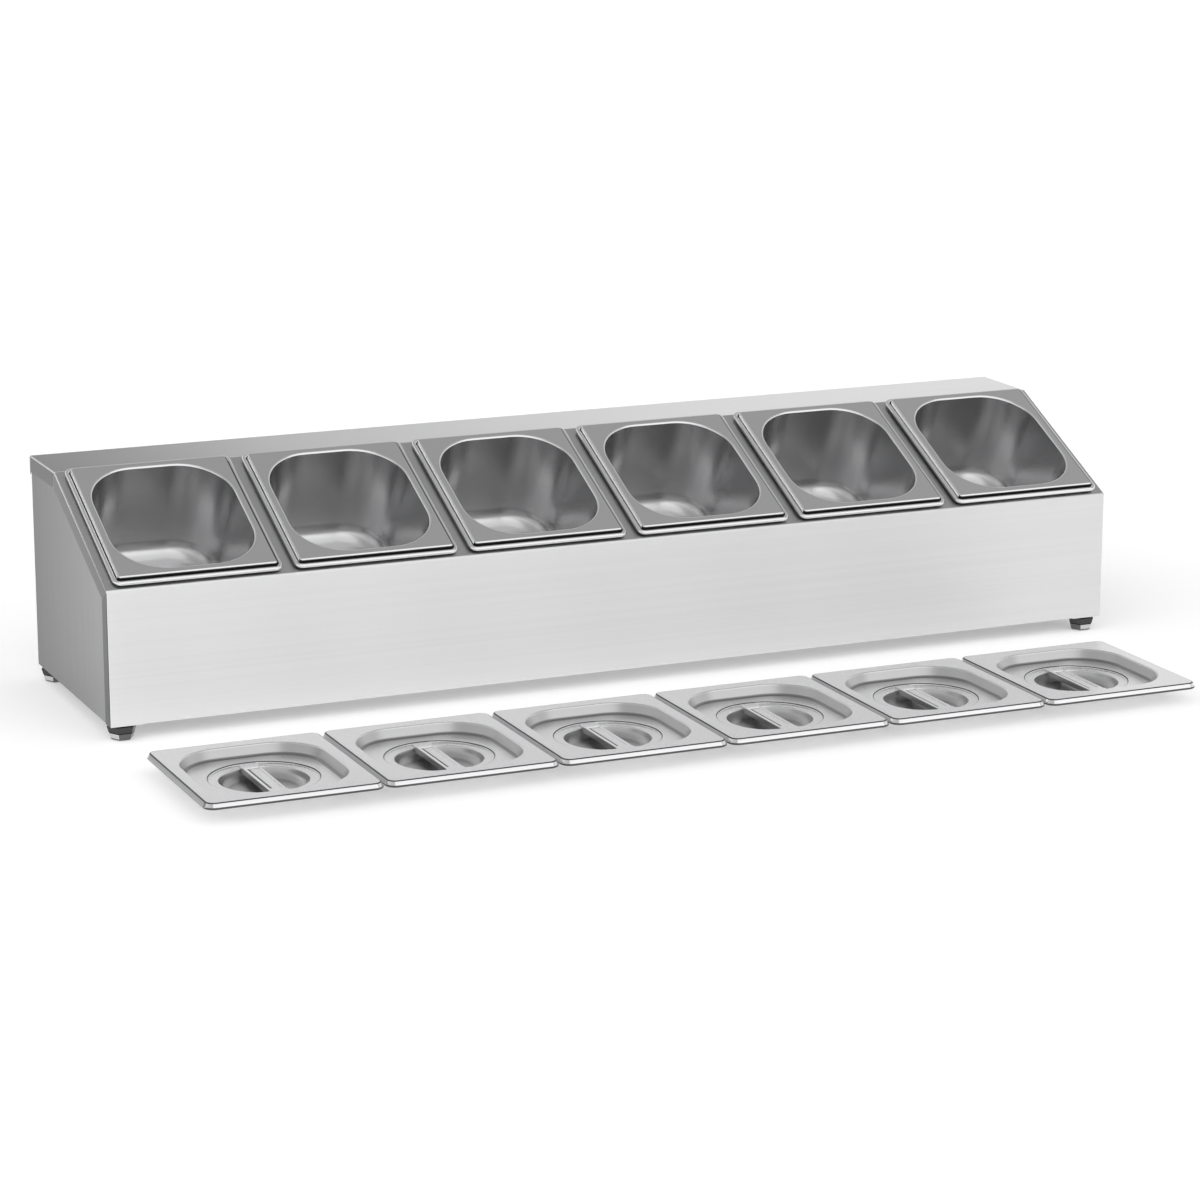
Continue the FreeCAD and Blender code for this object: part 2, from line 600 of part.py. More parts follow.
def make_pan(label):
    """A deep-drawn pan, drawn from the deck's surface: rolled rim, flange, and tapered cup."""
    pan = new_body(label)
    sheet_twice = "2 * Sizes.pan_sheet"

    bead = new_sketch(pan, "XY_Plane", "PanBead", z="Sizes.lip_gap")
    rounded_rectangle(bead, "Sizes.pan_width", "Sizes.pan_length", "Sizes.rim_corner")
    bead_top = f"{RIM_TOP} - Sizes.bead_drop"
    extrude(pan, "Pad", bead, "Sizes.lip_height - Sizes.bead_drop")
    upper, lower = at_height(bead_top), at_height("Sizes.lip_gap")
    round_edges(pan, "PanBeadRound", "Sizes.bead_round", lambda point: upper(point) or lower(point))

    flange = new_sketch(pan, "XY_Plane", "PanFlange", z="Sizes.lip_gap")
    flange_width = "Sizes.pan_width - 2 * Sizes.bead_width"
    flange_length = "Sizes.pan_length - 2 * Sizes.bead_width"
    flange_corner = "Sizes.rim_corner - Sizes.bead_width"
    rounded_rectangle(flange, flange_width, flange_length, flange_corner)
    extrude(pan, "Pad", flange, "Sizes.lip_height")

    under = new_sketch(pan, "XY_Plane", "PanUnder", z="Sizes.lip_gap")
    under_width = f"{flange_width} - {sheet_twice}"
    under_length = f"{flange_length} - {sheet_twice}"
    rounded_rectangle(under, under_width, under_length, f"{flange_corner} - Sizes.pan_sheet")
    extrude(pan, "Pocket", under, "Sizes.lip_height - Sizes.pan_sheet", back=True)
    under_edge = at_height(f"{RIM_TOP} - Sizes.pan_sheet")
    round_edges(pan, "PanUnderRound", "Sizes.bead_round - Sizes.pan_sheet", under_edge)
    round_edges(pan, "PanFlangeRound", "Sizes.bead_round", at_height(RIM_TOP))

    cup = new_sketch(pan, "XY_Plane", "PanCup", z=f"{RIM_TOP} - Sizes.pan_sheet")
    cup_width = f"{MOUTH_WIDTH} + {sheet_twice}"
    cup_length = f"{MOUTH_LENGTH} + {sheet_twice}"
    rounded_rectangle(cup, cup_width, cup_length, "Sizes.mouth_corner + Sizes.pan_sheet")
    cup_depth = "Sizes.pan_depth - Sizes.pan_sheet"
    extrude(pan, "Pad", cup, cup_depth, taper="-Sizes.pan_draft", back=True)
    floor = f"{RIM_TOP} - Sizes.pan_depth"
    junction = at_height_within(f"{RIM_TOP} - Sizes.pan_sheet", cup_width, cup_length)
    round_edges(pan, "PanShoulder", "Sizes.mouth_round - Sizes.pan_sheet", junction)

    cavity = new_sketch(pan, "XY_Plane", "PanCavity", z=RIM_TOP)
    rounded_rectangle(cavity, MOUTH_WIDTH, MOUTH_LENGTH, "Sizes.mouth_corner")
    extrude(pan, "Pocket", cavity, cup_depth, taper="-Sizes.pan_draft")
    round_edges(pan, "PanFloorInner", "Sizes.floor_round", at_height(f"{floor} + Sizes.pan_sheet"))
    round_edges(pan, "PanFloorOuter", "Sizes.floor_round + Sizes.pan_sheet", at_height(floor))
    mouth = at_height_within(RIM_TOP, MOUTH_WIDTH, MOUTH_LENGTH)
    round_edges(pan, "PanMouth", "Sizes.mouth_round", mouth)
    return pan


def make_pans():
    """One pan in each cut-out of the deck."""
    master = make_pan("pan_1")
    for index in range(int(value("Sizes.pan_count"))):
        pan = master if index == 0 else copy_of(master, f"pan_{index + 1}")
        x = f"{index} * {PITCH} - {ROW} / 2"
        y, z = f"{FRONT_Y} + {SEAT_Y}", f"{FOOT_HEIGHT} + {SEAT_Z}"
        place(pan, x, y, z, X_AXIS, "Sizes.deck_angle")


def dish_profile(sketch, wall, floor, ring, top):
    """Half the section of a lid's finger well: well floor, flared well wall, ring and its edge."""
    ring_radius = f"Sizes.ring_diameter / 2 + {wall}"
    well_radius = f"Sizes.well_diameter / 2 + {wall}"
    floor_radius = f"{well_radius} - ({ring} - ({floor})) * tan(Sizes.well_draft)"
    corners = [
        ("0", floor),
        (floor_radius, floor),
        (well_radius, ring),
        (ring_radius, ring),
        (ring_radius, top),
        ("0", top),
    ]
    first = polygon(sketch, corners)
    for line in (first, first + 2, first + 4):
        sketch.addConstraint(Sketcher.Constraint("Horizontal", line))
    for line in (first + 3, first + 5):
        sketch.addConstraint(Sketcher.Constraint("Vertical", line))
    sketch.addConstraint(Sketcher.Constraint("PointOnObject", first, 1, -2))
    measure(sketch, "DistanceX", -1, 1, first, 2, size=floor_radius)
    measure(sketch, "DistanceX", -1, 1, first + 2, 1, size=well_radius)
    measure(sketch, "DistanceX", -1, 1, first + 3, 1, size=ring_radius)
    measure(sketch, "DistanceY", -1, 1, first, 1, size=floor)
    measure(sketch, "DistanceY", -1, 1, first + 2, 1, size=ring)
    measure(sketch, "DistanceY", -1, 1, first + 4, 1, size=top)


def revolve(body, kind, sketch):
    """Turn a half section about the Z axis, to add or to cut."""
    feature = body.newObject(f"PartDesign::{kind}", f"{sketch.Name}{kind}")
    feature.Profile = sketch
    feature.ReferenceAxis = (sketch, ["V_Axis"])
    feature.Angle = 360
    before = body.Shape.Volume
    doc.recompute()
    if abs(feature.Shape.Volume - before) < TOLERANCE:
        raise RuntimeError(f"{feature.Label} of {body.Label} changes nothing")


def make_lid(label):
    """A pressed lid, drawn from the counter: flared skirt, recess, ring and finger well."""
    lid = new_body(label)
    skirt_base = f"{LID_TOP} - Sizes.skirt_height"
    skirt = new_sketch(lid, "XY_Plane", "LidSkirt", z=skirt_base)
    rounded_rectangle(skirt, "Sizes.pan_width", "Sizes.pan_length", "Sizes.lid_corner")
    extrude(lid, "Pad", skirt, "Sizes.skirt_height", taper="-Sizes.skirt_flare")
    under = new_sketch(lid, "XY_Plane", "LidUnder", z=skirt_base)
    wall = "Sizes.lid_sheet / cos(Sizes.skirt_flare)"
    under_width, under_length = f"Sizes.pan_width - 2 * {wall}", f"Sizes.pan_length - 2 * {wall}"
    rounded_rectangle(under, under_width, under_length, f"Sizes.lid_corner - {wall}")
    under_depth = "Sizes.skirt_height - Sizes.lid_sheet"
    extrude(lid, "Pocket", under, under_depth, taper="-Sizes.skirt_flare", back=True)

    recess_outer = new_sketch(lid, "XY_Plane", "LidRecessOuter", z=f"{LID_TOP} - Sizes.lid_sheet")
    wall = "Sizes.lid_sheet"
    outer_width = f"{RECESS_WIDTH} + 2 * {wall}"
    outer_length = f"{RECESS_LENGTH} + 2 * {wall}"
    rounded_rectangle(recess_outer, outer_width, outer_length, f"Sizes.recess_corner + {wall}")
    extrude(lid, "Pad", recess_outer, "Sizes.recess_depth", taper="-Sizes.recess_draft", back=True)
    junction = at_height_within(f"{LID_TOP} - {wall}", outer_width, outer_length)
    round_edges(lid, "LidShoulder", f"Sizes.recess_round - {wall}", junction)
    dish_outer = new_sketch(lid, "XZ_Plane", "LidDishOuter")
    dish_profile(dish_outer, wall, "0", "Sizes.well_depth", RECESS_LEVEL)
    revolve(lid, "Revolution", dish_outer)

    recess_inner = new_sketch(lid, "XY_Plane", "LidRecessInner", z=LID_TOP)
    rounded_rectangle(recess_inner, RECESS_WIDTH, RECESS_LENGTH, "Sizes.recess_corner")
    extrude(lid, "Pocket", recess_inner, "Sizes.recess_depth", taper="-Sizes.recess_draft")
    round_edges(lid, "LidRecessFloor", "Sizes.recess_round", at_height(RECESS_LEVEL))
    mouth = at_height_within(LID_TOP, RECESS_WIDTH, RECESS_LENGTH)
    round_edges(lid, "LidMouth", "Sizes.recess_round", mouth)
    dish_inner = new_sketch(lid, "XZ_Plane", "LidDishInner")
    dish_profile(dish_inner, "0", "Sizes.lid_sheet", RING_LEVEL, RECESS_LEVEL)
    revolve(lid, "Groove", dish_inner)
    round_edges(lid, "LidWellInner", "Sizes.well_round", at_height("Sizes.lid_sheet"))
    round_edges(lid, "LidWellOuter", f"Sizes.well_round + {wall}", at_height("0"))
    return lid


def make_handle(label):
    """A folded bar across the finger well, seated on the ring: sides turned down, top fluted."""
    bar = new_body(label)
    reach = "(Sizes.ring_diameter / 2 - Sizes.bar_end_gap)"
    half_width = "Sizes.bar_width / 2"
    plate = new_sketch(bar, "XY_Plane", "BarPlate", z=RING_LEVEL)
    x, radius = value(half_width), value(reach)
    y = math.sqrt(radius ** 2 - x ** 2)
    turn = math.atan2(y, x)
    circle = Part.Circle(FreeCAD.Vector(), Z_AXIS, radius)
    plate.addGeometry(Part.LineSegment(FreeCAD.Vector(x, -y), FreeCAD.Vector(x, y)), False)
    plate.addGeometry(Part.ArcOfCircle(circle, turn, math.pi - turn), False)
    plate.addGeometry(Part.LineSegment(FreeCAD.Vector(-x, y), FreeCAD.Vector(-x, -y)), False)
    plate.addGeometry(Part.ArcOfCircle(circle, math.pi + turn, -turn), False)
    for index in range(4):
        plate.addConstraint(Sketcher.Constraint("Coincident", index, 2, (index + 1) % 4, 1))
    for arc in (1, 3):
        plate.addConstraint(Sketcher.Constraint("Coincident", arc, 3, -1, 1))
    for line in (0, 2):
        plate.addConstraint(Sketcher.Constraint("Vertical", line))
    measure(plate, "Radius", 1, size=reach)
    measure(plate, "DistanceX", -1, 1, 0, 1, size=half_width)
    measure(plate, "DistanceX", 2, 1, -1, 1, size=half_width)
    extrude(bar, "Pad", plate, "Sizes.bar_sheet")

    sides = new_sketch(bar, "XY_Plane", "BarSides", z=RING_LEVEL)
    lower_radius = "(Sizes.well_diameter / 2 - Sizes.bar_side_gap)"
    half_run = f"sqrt({lower_radius} ^ 2 - ({half_width}) ^ 2)"
    inner = f"{half_width} - Sizes.bar_sheet"
    rectangle(sides, inner, half_width, f"-{half_run}", half_run)
    rectangle(sides, f"-({half_width})", f"-({inner})", f"-{half_run}", half_run)
    extrude(bar, "Pad", sides, "Sizes.bar_side", back=True)

    flute = new_sketch(bar, "XY_Plane", "BarFlute", z=f"{RING_LEVEL} + Sizes.bar_sheet")
    flute_width = "(Sizes.bar_width - 2 * Sizes.flute_edge)"
    rounded_rectangle(flute, flute_width, f"2 * {half_run}", f"{flute_width} / 2 - Sizes.flute_depth")
    extrude(bar, "Pocket", flute, "Sizes.flute_depth")
    return bar


def make_lids():
    """The lids with their handles, in a row on the counter in front of the rack."""
    lid_master = make_lid("lid_1")
    bar_master = make_handle("lid_handle_1")
    for index in range(int(value("Sizes.pan_count"))):
        lid = lid_master if index == 0 else copy_of(lid_master, f"lid_{index + 1}")
        bar = bar_master if index == 0 else copy_of(bar_master, f"lid_handle_{index + 1}")
        step = "(Sizes.pan_width + Sizes.lid_gap)"
        x = f"Sizes.lid_row_shift + ({index} - (Sizes.pan_count - 1) / 2) * {step}"
        for piece in (lid, bar):
            place(piece, x, LID_Y, "0")


make_deck_shell()
make_end_panel("left_end_panel", f"(-{LENGTH} / 2 + Sizes.panel_sheet)", 1)
make_end_panel("right_end_panel", f"({LENGTH} / 2 - Sizes.panel_sheet)", -1)
make_back_panel()
make_corners()
make_pans()
make_lids()

# Check every object and write each sub-part to its own file
doc.recompute()
failed = [item.Label for item in doc.Objects if "Invalid" in item.State or "Error" in item.State]
if failed:
    raise RuntimeError("failed objects: " + ", ".join(failed))
for piece in parts:
    if piece.Shape.isNull() or not piece.Shape.isValid():
        raise RuntimeError("bad shape: " + piece.Label)
    if piece.TypeId == "PartDesign::Body" and len(piece.Shape.Solids) != 1:
        raise RuntimeError("not one solid: " + piece.Label)
os.makedirs("parts", exist_ok=True)
for piece in parts:
    piece.Shape.exportStep(f"parts/{piece.Label}.step")
print(len(parts), "sub-parts,", sum(len(piece.Shape.Solids) for piece in parts), "solids")
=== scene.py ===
import math

import bmesh
import bpy
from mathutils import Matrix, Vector


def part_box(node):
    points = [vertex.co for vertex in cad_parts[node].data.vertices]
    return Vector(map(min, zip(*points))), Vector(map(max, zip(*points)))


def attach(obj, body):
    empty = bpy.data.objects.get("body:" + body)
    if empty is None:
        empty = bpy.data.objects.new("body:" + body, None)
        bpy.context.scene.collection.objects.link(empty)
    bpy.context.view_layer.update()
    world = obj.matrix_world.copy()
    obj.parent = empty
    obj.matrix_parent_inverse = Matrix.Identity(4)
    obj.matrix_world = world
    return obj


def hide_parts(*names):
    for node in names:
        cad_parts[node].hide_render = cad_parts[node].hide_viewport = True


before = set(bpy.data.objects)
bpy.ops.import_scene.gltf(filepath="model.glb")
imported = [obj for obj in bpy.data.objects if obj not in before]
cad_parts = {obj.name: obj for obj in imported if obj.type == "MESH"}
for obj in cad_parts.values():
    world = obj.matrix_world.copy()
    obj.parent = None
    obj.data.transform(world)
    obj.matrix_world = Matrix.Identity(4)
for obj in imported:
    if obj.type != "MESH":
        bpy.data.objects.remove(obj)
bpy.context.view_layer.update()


# Folded body
# One sheet of brushed stainless steel, folded into the front panel, the sloped deck, the rear
# shelf and its return. Flaps at both ends fold over the end panels, with mitred corners.
# A raised collar is drawn up round each cut-out in the deck, and a pan's rim rests on it.
mm = 0.001
body_low, body_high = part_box("deck_shell")
body_length = body_high.x - body_low.x
body_end = body_length / 2
front_y = body_low.y
base_z = body_low.z
front_height = 127.5 * mm
deck_angle = math.radians(25.5)
deck_slope = 181 * mm
deck_run = deck_slope * math.cos(deck_angle)
deck_rise = deck_slope * math.sin(deck_angle)
shelf_depth = 85 * mm
rear_return = 18 * mm
lower_return = 14 * mm
lower_return_end = 488.7 * mm
body_sheet = 1 * mm
bend_radius = 2 * mm
flap_width = 16 * mm
flap_gap = 0.7 * mm
flap_bend = 1.2 * mm
flap_burr = 0.6 * mm
pan_count = 6
pan_pitch = 173 * mm
close = 0.002 * mm


def pick(kind, test):
    """In edit mode, select only the corners, edges or faces that pass a test at every corner."""
    bpy.ops.mesh.select_mode(type=kind)
    bpy.ops.mesh.select_all(action="DESELECT")
    mesh = bmesh.from_edit_mesh(bpy.context.object.data)
    for item in {"VERT": mesh.verts, "EDGE": mesh.edges, "FACE": mesh.faces}[kind]:
        corners = [item] if kind == "VERT" else item.verts
        if all(test(corner.co) for corner in corners):
            item.select_set(True)
    bmesh.update_edit_mesh(bpy.context.object.data)


def pull(x, y, z):
    """In edit mode, extrude what is selected by a step."""
    bpy.ops.mesh.extrude_region_move(TRANSFORM_OT_translate={"value": (x, y, z)})


def on_line(y, z):
    """A test for points on a line along the rack."""
    return lambda point: math.hypot(point.y - y, point.z - z) < close


def rounded_face(width, length, corner, height, segments):
    """In edit mode, add a flat face with round corners about the Z axis and leave it selected."""
    bpy.ops.mesh.select_mode(type="FACE")
    bpy.ops.mesh.select_all(action="DESELECT")
    bpy.ops.mesh.primitive_plane_add(size=1, location=(0, 0, height))
    bpy.ops.transform.resize(value=(width, length, 1), center_override=(0, 0, height))
    bpy.ops.mesh.bevel(affect="VERTICES", offset=corner, segments=segments, profile=0.5)


def new_piece(name):
    """Start an empty piece at the origin and enter edit mode."""
    bpy.ops.object.select_all(action="DESELECT")
    bpy.ops.mesh.primitive_plane_add(size=1)
    piece = bpy.context.object
    piece.name = name
    piece.data.name = name
    bpy.ops.object.mode_set(mode="EDIT")
    bpy.ops.mesh.select_all(action="SELECT")
    bpy.ops.mesh.delete(type="VERT")
    return piece


def choose(piece):
    """In object mode, select one piece alone."""
    bpy.ops.object.select_all(action="DESELECT")
    piece.select_set(True)
    bpy.context.view_layer.objects.active = piece


def finish_with(piece, kind, **settings):
    """Add a modifier to a piece and apply it."""
    choose(piece)
    modifier = piece.modifiers.new(kind.lower(), kind)
    for name, setting in settings.items():
        setattr(modifier, name, setting)
    bpy.ops.object.modifier_apply(modifier=modifier.name)


def smooth(piece, angle):
    """Shade a piece smooth up to an angle, with flat faces kept flat next to rounded edges."""
    choose(piece)
    bpy.ops.object.shade_smooth_by_angle(angle=math.radians(angle))
    finish_with(piece, "WEIGHTED_NORMAL", keep_sharp=True, weight=100)


def place_on_deck(piece, x):
    """Tilt a piece that was made level, seat it on the deck's middle line, and apply its place."""
    choose(piece)
    seat = deck_slope / 2
    piece.rotation_euler = (deck_angle, 0, 0)
    y = front_y + seat * math.cos(deck_angle)
    z = base_z + front_height + seat * math.sin(deck_angle)
    piece.location = (x, y, z)
    bpy.ops.object.transform_apply(location=True, rotation=True, scale=True)


def copy_piece(piece, name):
    """A copy of a piece with its own mesh."""
    copy = piece.copy()
    copy.data = piece.data.copy()
    copy.name = name
    copy.data.name = name
    bpy.context.scene.collection.objects.link(copy)
    return copy


# The flat strip of sheet, from the front panel to the rear return
bpy.ops.object.select_all(action="DESELECT")
bpy.ops.mesh.primitive_plane_add(
    size=1, location=(0, front_y, base_z + front_height / 2), rotation=(math.pi / 2, 0, 0)
)
folded_body = bpy.context.object
folded_body.name = "folded_body"
folded_body.scale = (body_length, front_height, 1)
bpy.ops.object.transform_apply(location=True, rotation=True, scale=True)
bpy.ops.object.mode_set(mode="EDIT")
deck_front = (front_y, base_z + front_height)
deck_rear = (front_y + deck_run, base_z + front_height + deck_rise)
shelf_rear = (deck_rear[0] + shelf_depth, deck_rear[1])
pick("EDGE", on_line(*deck_front))
pull(0, deck_run, deck_rise)
pull(0, shelf_depth, 0)
pull(0, 0, -rear_return)

# The lower return, which stops short of the corner brackets
for side in (-1, 1):
    pick("FACE", lambda point: abs(point.y - front_y) < close)
    cut_x = side * lower_return_end
    bpy.ops.mesh.bisect(plane_co=(cut_x, 0, 0), plane_no=(1, 0, 0))
pick("EDGE", lambda p: on_line(front_y, base_z)(p) and abs(p.x) < lower_return_end + close)
pull(0, lower_return, 0)

# The bends along the rack
front_bottom = (front_y, base_z)
turns = {deck_front: math.pi / 2 - deck_angle, deck_rear: deck_angle, shelf_rear: math.pi / 2}
for line, turn in turns.items():
    pick("EDGE", on_line(*line))
    bpy.ops.mesh.bevel(offset=bend_radius * math.tan(turn / 2), segments=5, affect="EDGES")
pick("EDGE", lambda p: on_line(*front_bottom)(p) and abs(p.x) < lower_return_end + close)
bpy.ops.mesh.bevel(offset=bend_radius, segments=4, affect="EDGES")

# The flaps at both ends: each is pulled from its own edge, then mitred at its inner corners.
# Listed for each are the way along its fold, the way across, a corner, and its two mitres.
uphill = Vector((0, math.cos(deck_angle), math.sin(deck_angle)))
inward = Vector((0, math.sin(deck_angle), -math.cos(deck_angle)))
corner_front = Vector((0, *deck_front))
corner_rear = Vector((0, *deck_rear))
front_mitre = flap_width * (1 - math.sin(deck_angle)) / math.cos(deck_angle) + flap_gap
rear_mitre = flap_width * math.tan(deck_angle / 2) + flap_gap
flaps = [
    (Vector((0, 0, 1)), Vector((0, 1, 0)), corner_front, None, -front_mitre),
    (uphill, inward, corner_front, front_mitre, deck_slope - rear_mitre),
    (Vector((0, 1, 0)), Vector((0, 0, -1)), corner_rear, rear_mitre, None),
]
for side in (-1, 1):
    for along, across, origin, start, stop in flaps:
        def on_edge(point):
            """Whether a point lies on this flap's fold, at this end."""
            offset = point - origin
            return abs(point.x - side * body_end) < close and abs(offset.dot(across)) < close

        pick("EDGE", on_edge)
        pull(*(across * flap_width))
        mesh = bmesh.from_edit_mesh(folded_body.data)
        ends = sorted(((v.co - origin).dot(along), v) for v in mesh.verts if v.select)
        for (place, vertex), target in zip((ends[0], ends[-1]), (start, stop)):
            if target is not None:
                vertex.co += along * (target - place)
        bmesh.update_edit_mesh(folded_body.data)
        pick("EDGE", on_edge)
        bpy.ops.mesh.bevel(offset=flap_bend, segments=4, affect="EDGES")
bpy.ops.mesh.select_all(action="SELECT")
bpy.ops.mesh.remove_doubles(threshold=close)
bpy.ops.mesh.normals_make_consistent(inside=False)
bpy.ops.object.mode_set(mode="OBJECT")
finish_with(folded_body, "SOLIDIFY", thickness=body_sheet, offset=-1, use_even_offset=True)

# The cut-outs and their collars, each made once, copied along the row, and cut or joined
hole_width, hole_length, hole_corner = 146.6 * mm, 160.6 * mm, 53.3 * mm
collar_height = 8.15 * mm
collar_root = 0.6 * mm
cutter_reach = 4 * mm
corner_segments = 12
pan_places = [(index - (pan_count - 1) / 2) * pan_pitch for index in range(pan_count)]


def along_row(piece):
    """Copy a piece to each pan's place on the deck and join the copies into one."""
    copies = [copy_piece(piece, piece.name) for _ in pan_places]
    for copy, x in zip(copies, pan_places):
        place_on_deck(copy, x)
    bpy.data.objects.remove(piece)
    choose(copies[0])
    for copy in copies:
        copy.select_set(True)
    bpy.ops.object.join()
    return bpy.context.object


cutter = new_piece("cutter")
cut_corner = hole_corner + body_sheet / 2
rounded_face(
    hole_width + body_sheet, hole_length + body_sheet, cut_corner, -cutter_reach, corner_segments
)
pull(0, 0, 2 * cutter_reach)
bpy.ops.mesh.select_all(action="SELECT")
bpy.ops.mesh.normals_make_consistent(inside=False)
bpy.ops.object.mode_set(mode="OBJECT")
cutter = along_row(cutter)
finish_with(folded_body, "BOOLEAN", operation="DIFFERENCE", solver="EXACT", object=cutter)
bpy.data.objects.remove(cutter)

collar = new_piece("collar")
collar_corner = hole_corner + body_sheet
rounded_face(
    hole_width + 2 * body_sheet, hole_length + 2 * body_sheet, collar_corner, -collar_root,
    corner_segments,
)
bpy.ops.mesh.inset(thickness=body_sheet)
bpy.ops.mesh.delete(type="FACE")
bpy.ops.mesh.select_all(action="SELECT")
pull(0, 0, collar_root + collar_height)
bpy.ops.mesh.select_all(action="SELECT")
bpy.ops.mesh.normals_make_consistent(inside=False)
bpy.ops.object.mode_set(mode="OBJECT")
collar = along_row(collar)
finish_with(folded_body, "BOOLEAN", operation="UNION", solver="EXACT", object=collar)
bpy.data.objects.remove(collar)


def on_flap(point):
    """Whether a point lies on the outer face of a flap."""
    return abs(abs(point.x) - body_end) < close


def on_flap_edge(point):
    """Whether a point lies on the long free edge of a flap."""
    reaches = [(point - origin).dot(across) for _, across, origin, _, _ in flaps]
    return on_flap(point) and any(abs(reach - flap_width) < close for reach in reaches)


# The flaps' free edges, deburred
choose(folded_body)
bpy.ops.object.mode_set(mode="EDIT")
pick("EDGE", on_flap_edge)
bpy.ops.mesh.bevel(offset=flap_burr, segments=2, affect="EDGES", clamp_overlap=True)
bpy.ops.object.mode_set(mode="OBJECT")
smooth(folded_body, angle=32)


def brushed_steel(name, tone, roughness, grain, depth=1.0, tangent=None, stretch=0.0):
    """Steel with a brushed grain: fine lines in the gloss and relief, faint streaks in the tone.

    The grain is the pattern's count of lines per metre along X, Y and Z, and the depth scales it.
    The tangent names the axis that the highlights are drawn out round, by the stretch.
    """
    steel = bpy.data.materials.new(name)
    steel.use_nodes = True
    nodes, links = steel.node_tree.nodes, steel.node_tree.links
    shader = nodes["Principled BSDF"]
    shader.inputs["Metallic"].default_value = 1.0
    shader.inputs["Anisotropic"].default_value = stretch
    place = nodes.new("ShaderNodeTexCoord")

    def lines(share, detail):
        """One layer of noise that is drawn out along the grain."""
        mapping = nodes.new("ShaderNodeMapping")
        mapping.inputs["Scale"].default_value = [count * share for count in grain]
        noise = nodes.new("ShaderNodeTexNoise")
        noise.inputs["Scale"].default_value = 1.0
        noise.inputs["Detail"].default_value = detail
        links.new(place.outputs["Object"], mapping.inputs["Vector"])
        links.new(mapping.outputs["Vector"], noise.inputs["Vector"])
        return noise.outputs["Fac"]

    def spread(factor, low, high):
        """Map the middle of a noise to a range."""
        noise_low, noise_high = 0.3, 0.7
        ramp = nodes.new("ShaderNodeMapRange")
        ramp.inputs["From Min"].default_value = noise_low
        ramp.inputs["From Max"].default_value = noise_high
        ramp.inputs["To Min"].default_value = low
        ramp.inputs["To Max"].default_value = high
        links.new(factor, ramp.inputs["Value"])
        return ramp.outputs["Result"]

    fine, broad = lines(share=1.0, detail=3), lines(share=0.2, detail=1)
    mix = nodes.new("ShaderNodeMix")
    mix.data_type = "RGBA"
    streak = 0.02 * depth
    mix.inputs["A"].default_value = (*(part * (1 - streak) for part in tone), 1)
    mix.inputs["B"].default_value = (*(part * (1 + streak) for part in tone), 1)
    links.new(spread(broad, 0, 1), mix.inputs["Factor"])
    links.new(mix.outputs["Result"], shader.inputs["Base Color"])
    sheen, relief = 0.1 * depth, 0.1 * depth
    scratch = 0.02 * mm
    gloss = spread(fine, roughness * (1 - sheen), roughness * (1 + sheen))
    links.new(gloss, shader.inputs["Roughness"])
    bump = nodes.new("ShaderNodeBump")
    bump.inputs["Strength"].default_value = relief
    bump.inputs["Distance"].default_value = scratch
    links.new(fine, bump.inputs["Height"])
    links.new(bump.outputs["Normal"], shader.inputs["Normal"])
    if tangent:
        direction = nodes.new("ShaderNodeTangent")
        direction.direction_type = "RADIAL"
        direction.axis = tangent
        links.new(direction.outputs["Tangent"], shader.inputs["Tangent"])
    return steel


def fade_along(steel, axis, ends, shares):
    """Scale a steel's tone evenly from one share to another between two places on an axis: a
    painted gradient of light and shade.
    """
    nodes, links = steel.node_tree.nodes, steel.node_tree.links
    finish = nodes["Principled BSDF"].inputs["Base Color"]
    streaks = finish.links[0].from_socket
    apart = nodes.new("ShaderNodeSeparateXYZ")
    links.new(nodes["Texture Coordinate"].outputs["Object"], apart.inputs["Vector"])
    fade = nodes.new("ShaderNodeMapRange")
    for setting, number in zip(("From Min", "From Max", "To Min", "To Max"), (*ends, *shares)):
        fade.inputs[setting].default_value = number
    links.new(apart.outputs[axis], fade.inputs["Value"])
    scaled = nodes.new("ShaderNodeVectorMath")
    scaled.operation = "SCALE"
    links.new(streaks, scaled.inputs[0])
    links.new(fade.outputs["Result"], scaled.inputs["Scale"])
    links.new(scaled.outputs["Vector"], finish)


body_tone = (0.78, 0.78, 0.785)
shelf_tone = (0.76, 0.76, 0.765)
# Painted shade: the deck takes a darker copy of the body's steel.
deck_shade_tone = (0.5, 0.5, 0.505)
# Painted shade: the flaps take darker copies of the body's steel, those of the front and the shelf
# the darkest.
flap_shade_tone = (0.14, 0.14, 0.143)
deep_flap_shade_tone = (0.1, 0.1, 0.102)
# Painted shade: dark lines along the folds from the front to its flaps, and along the free edges of
# the deck's and shelf's flaps.
fold_shade_tone = (0.1, 0.1, 0.103)
# Painted highlight: a light line along the folds from the deck and the shelf to their flaps.
fold_highlight_tone = (0.9, 0.9, 0.905)
shelf_shade_end = -0.56 * body_end
even_grain = (900, 900, 900)
lengthwise = {"grain": (6, 1500, 1500), "tangent": "X", "stretch": 0.5}
body_steel = brushed_steel("brushed_body_steel", body_tone, roughness=0.48, depth=0.6, **lengthwise)
shelf_steel = brushed_steel(
    "brushed_shelf_steel", shelf_tone, roughness=0.24, depth=0.8, **lengthwise
)
deck_shade_steel = brushed_steel("brushed_deck_shade_steel", deck_shade_tone, roughness=0.34, depth=0.8, **lengthwise)
flap_shade_steel = brushed_steel("brushed_flap_shade_steel", flap_shade_tone, roughness=0.34, grain=even_grain)
fold_shade_steel = brushed_steel("painted_fold_shade_steel", fold_shade_tone, roughness=0.4, grain=even_grain)
fold_highlight_steel = brushed_steel(
    "painted_fold_highlight_steel", fold_highlight_tone, roughness=0.2, grain=even_grain, depth=0.3
)
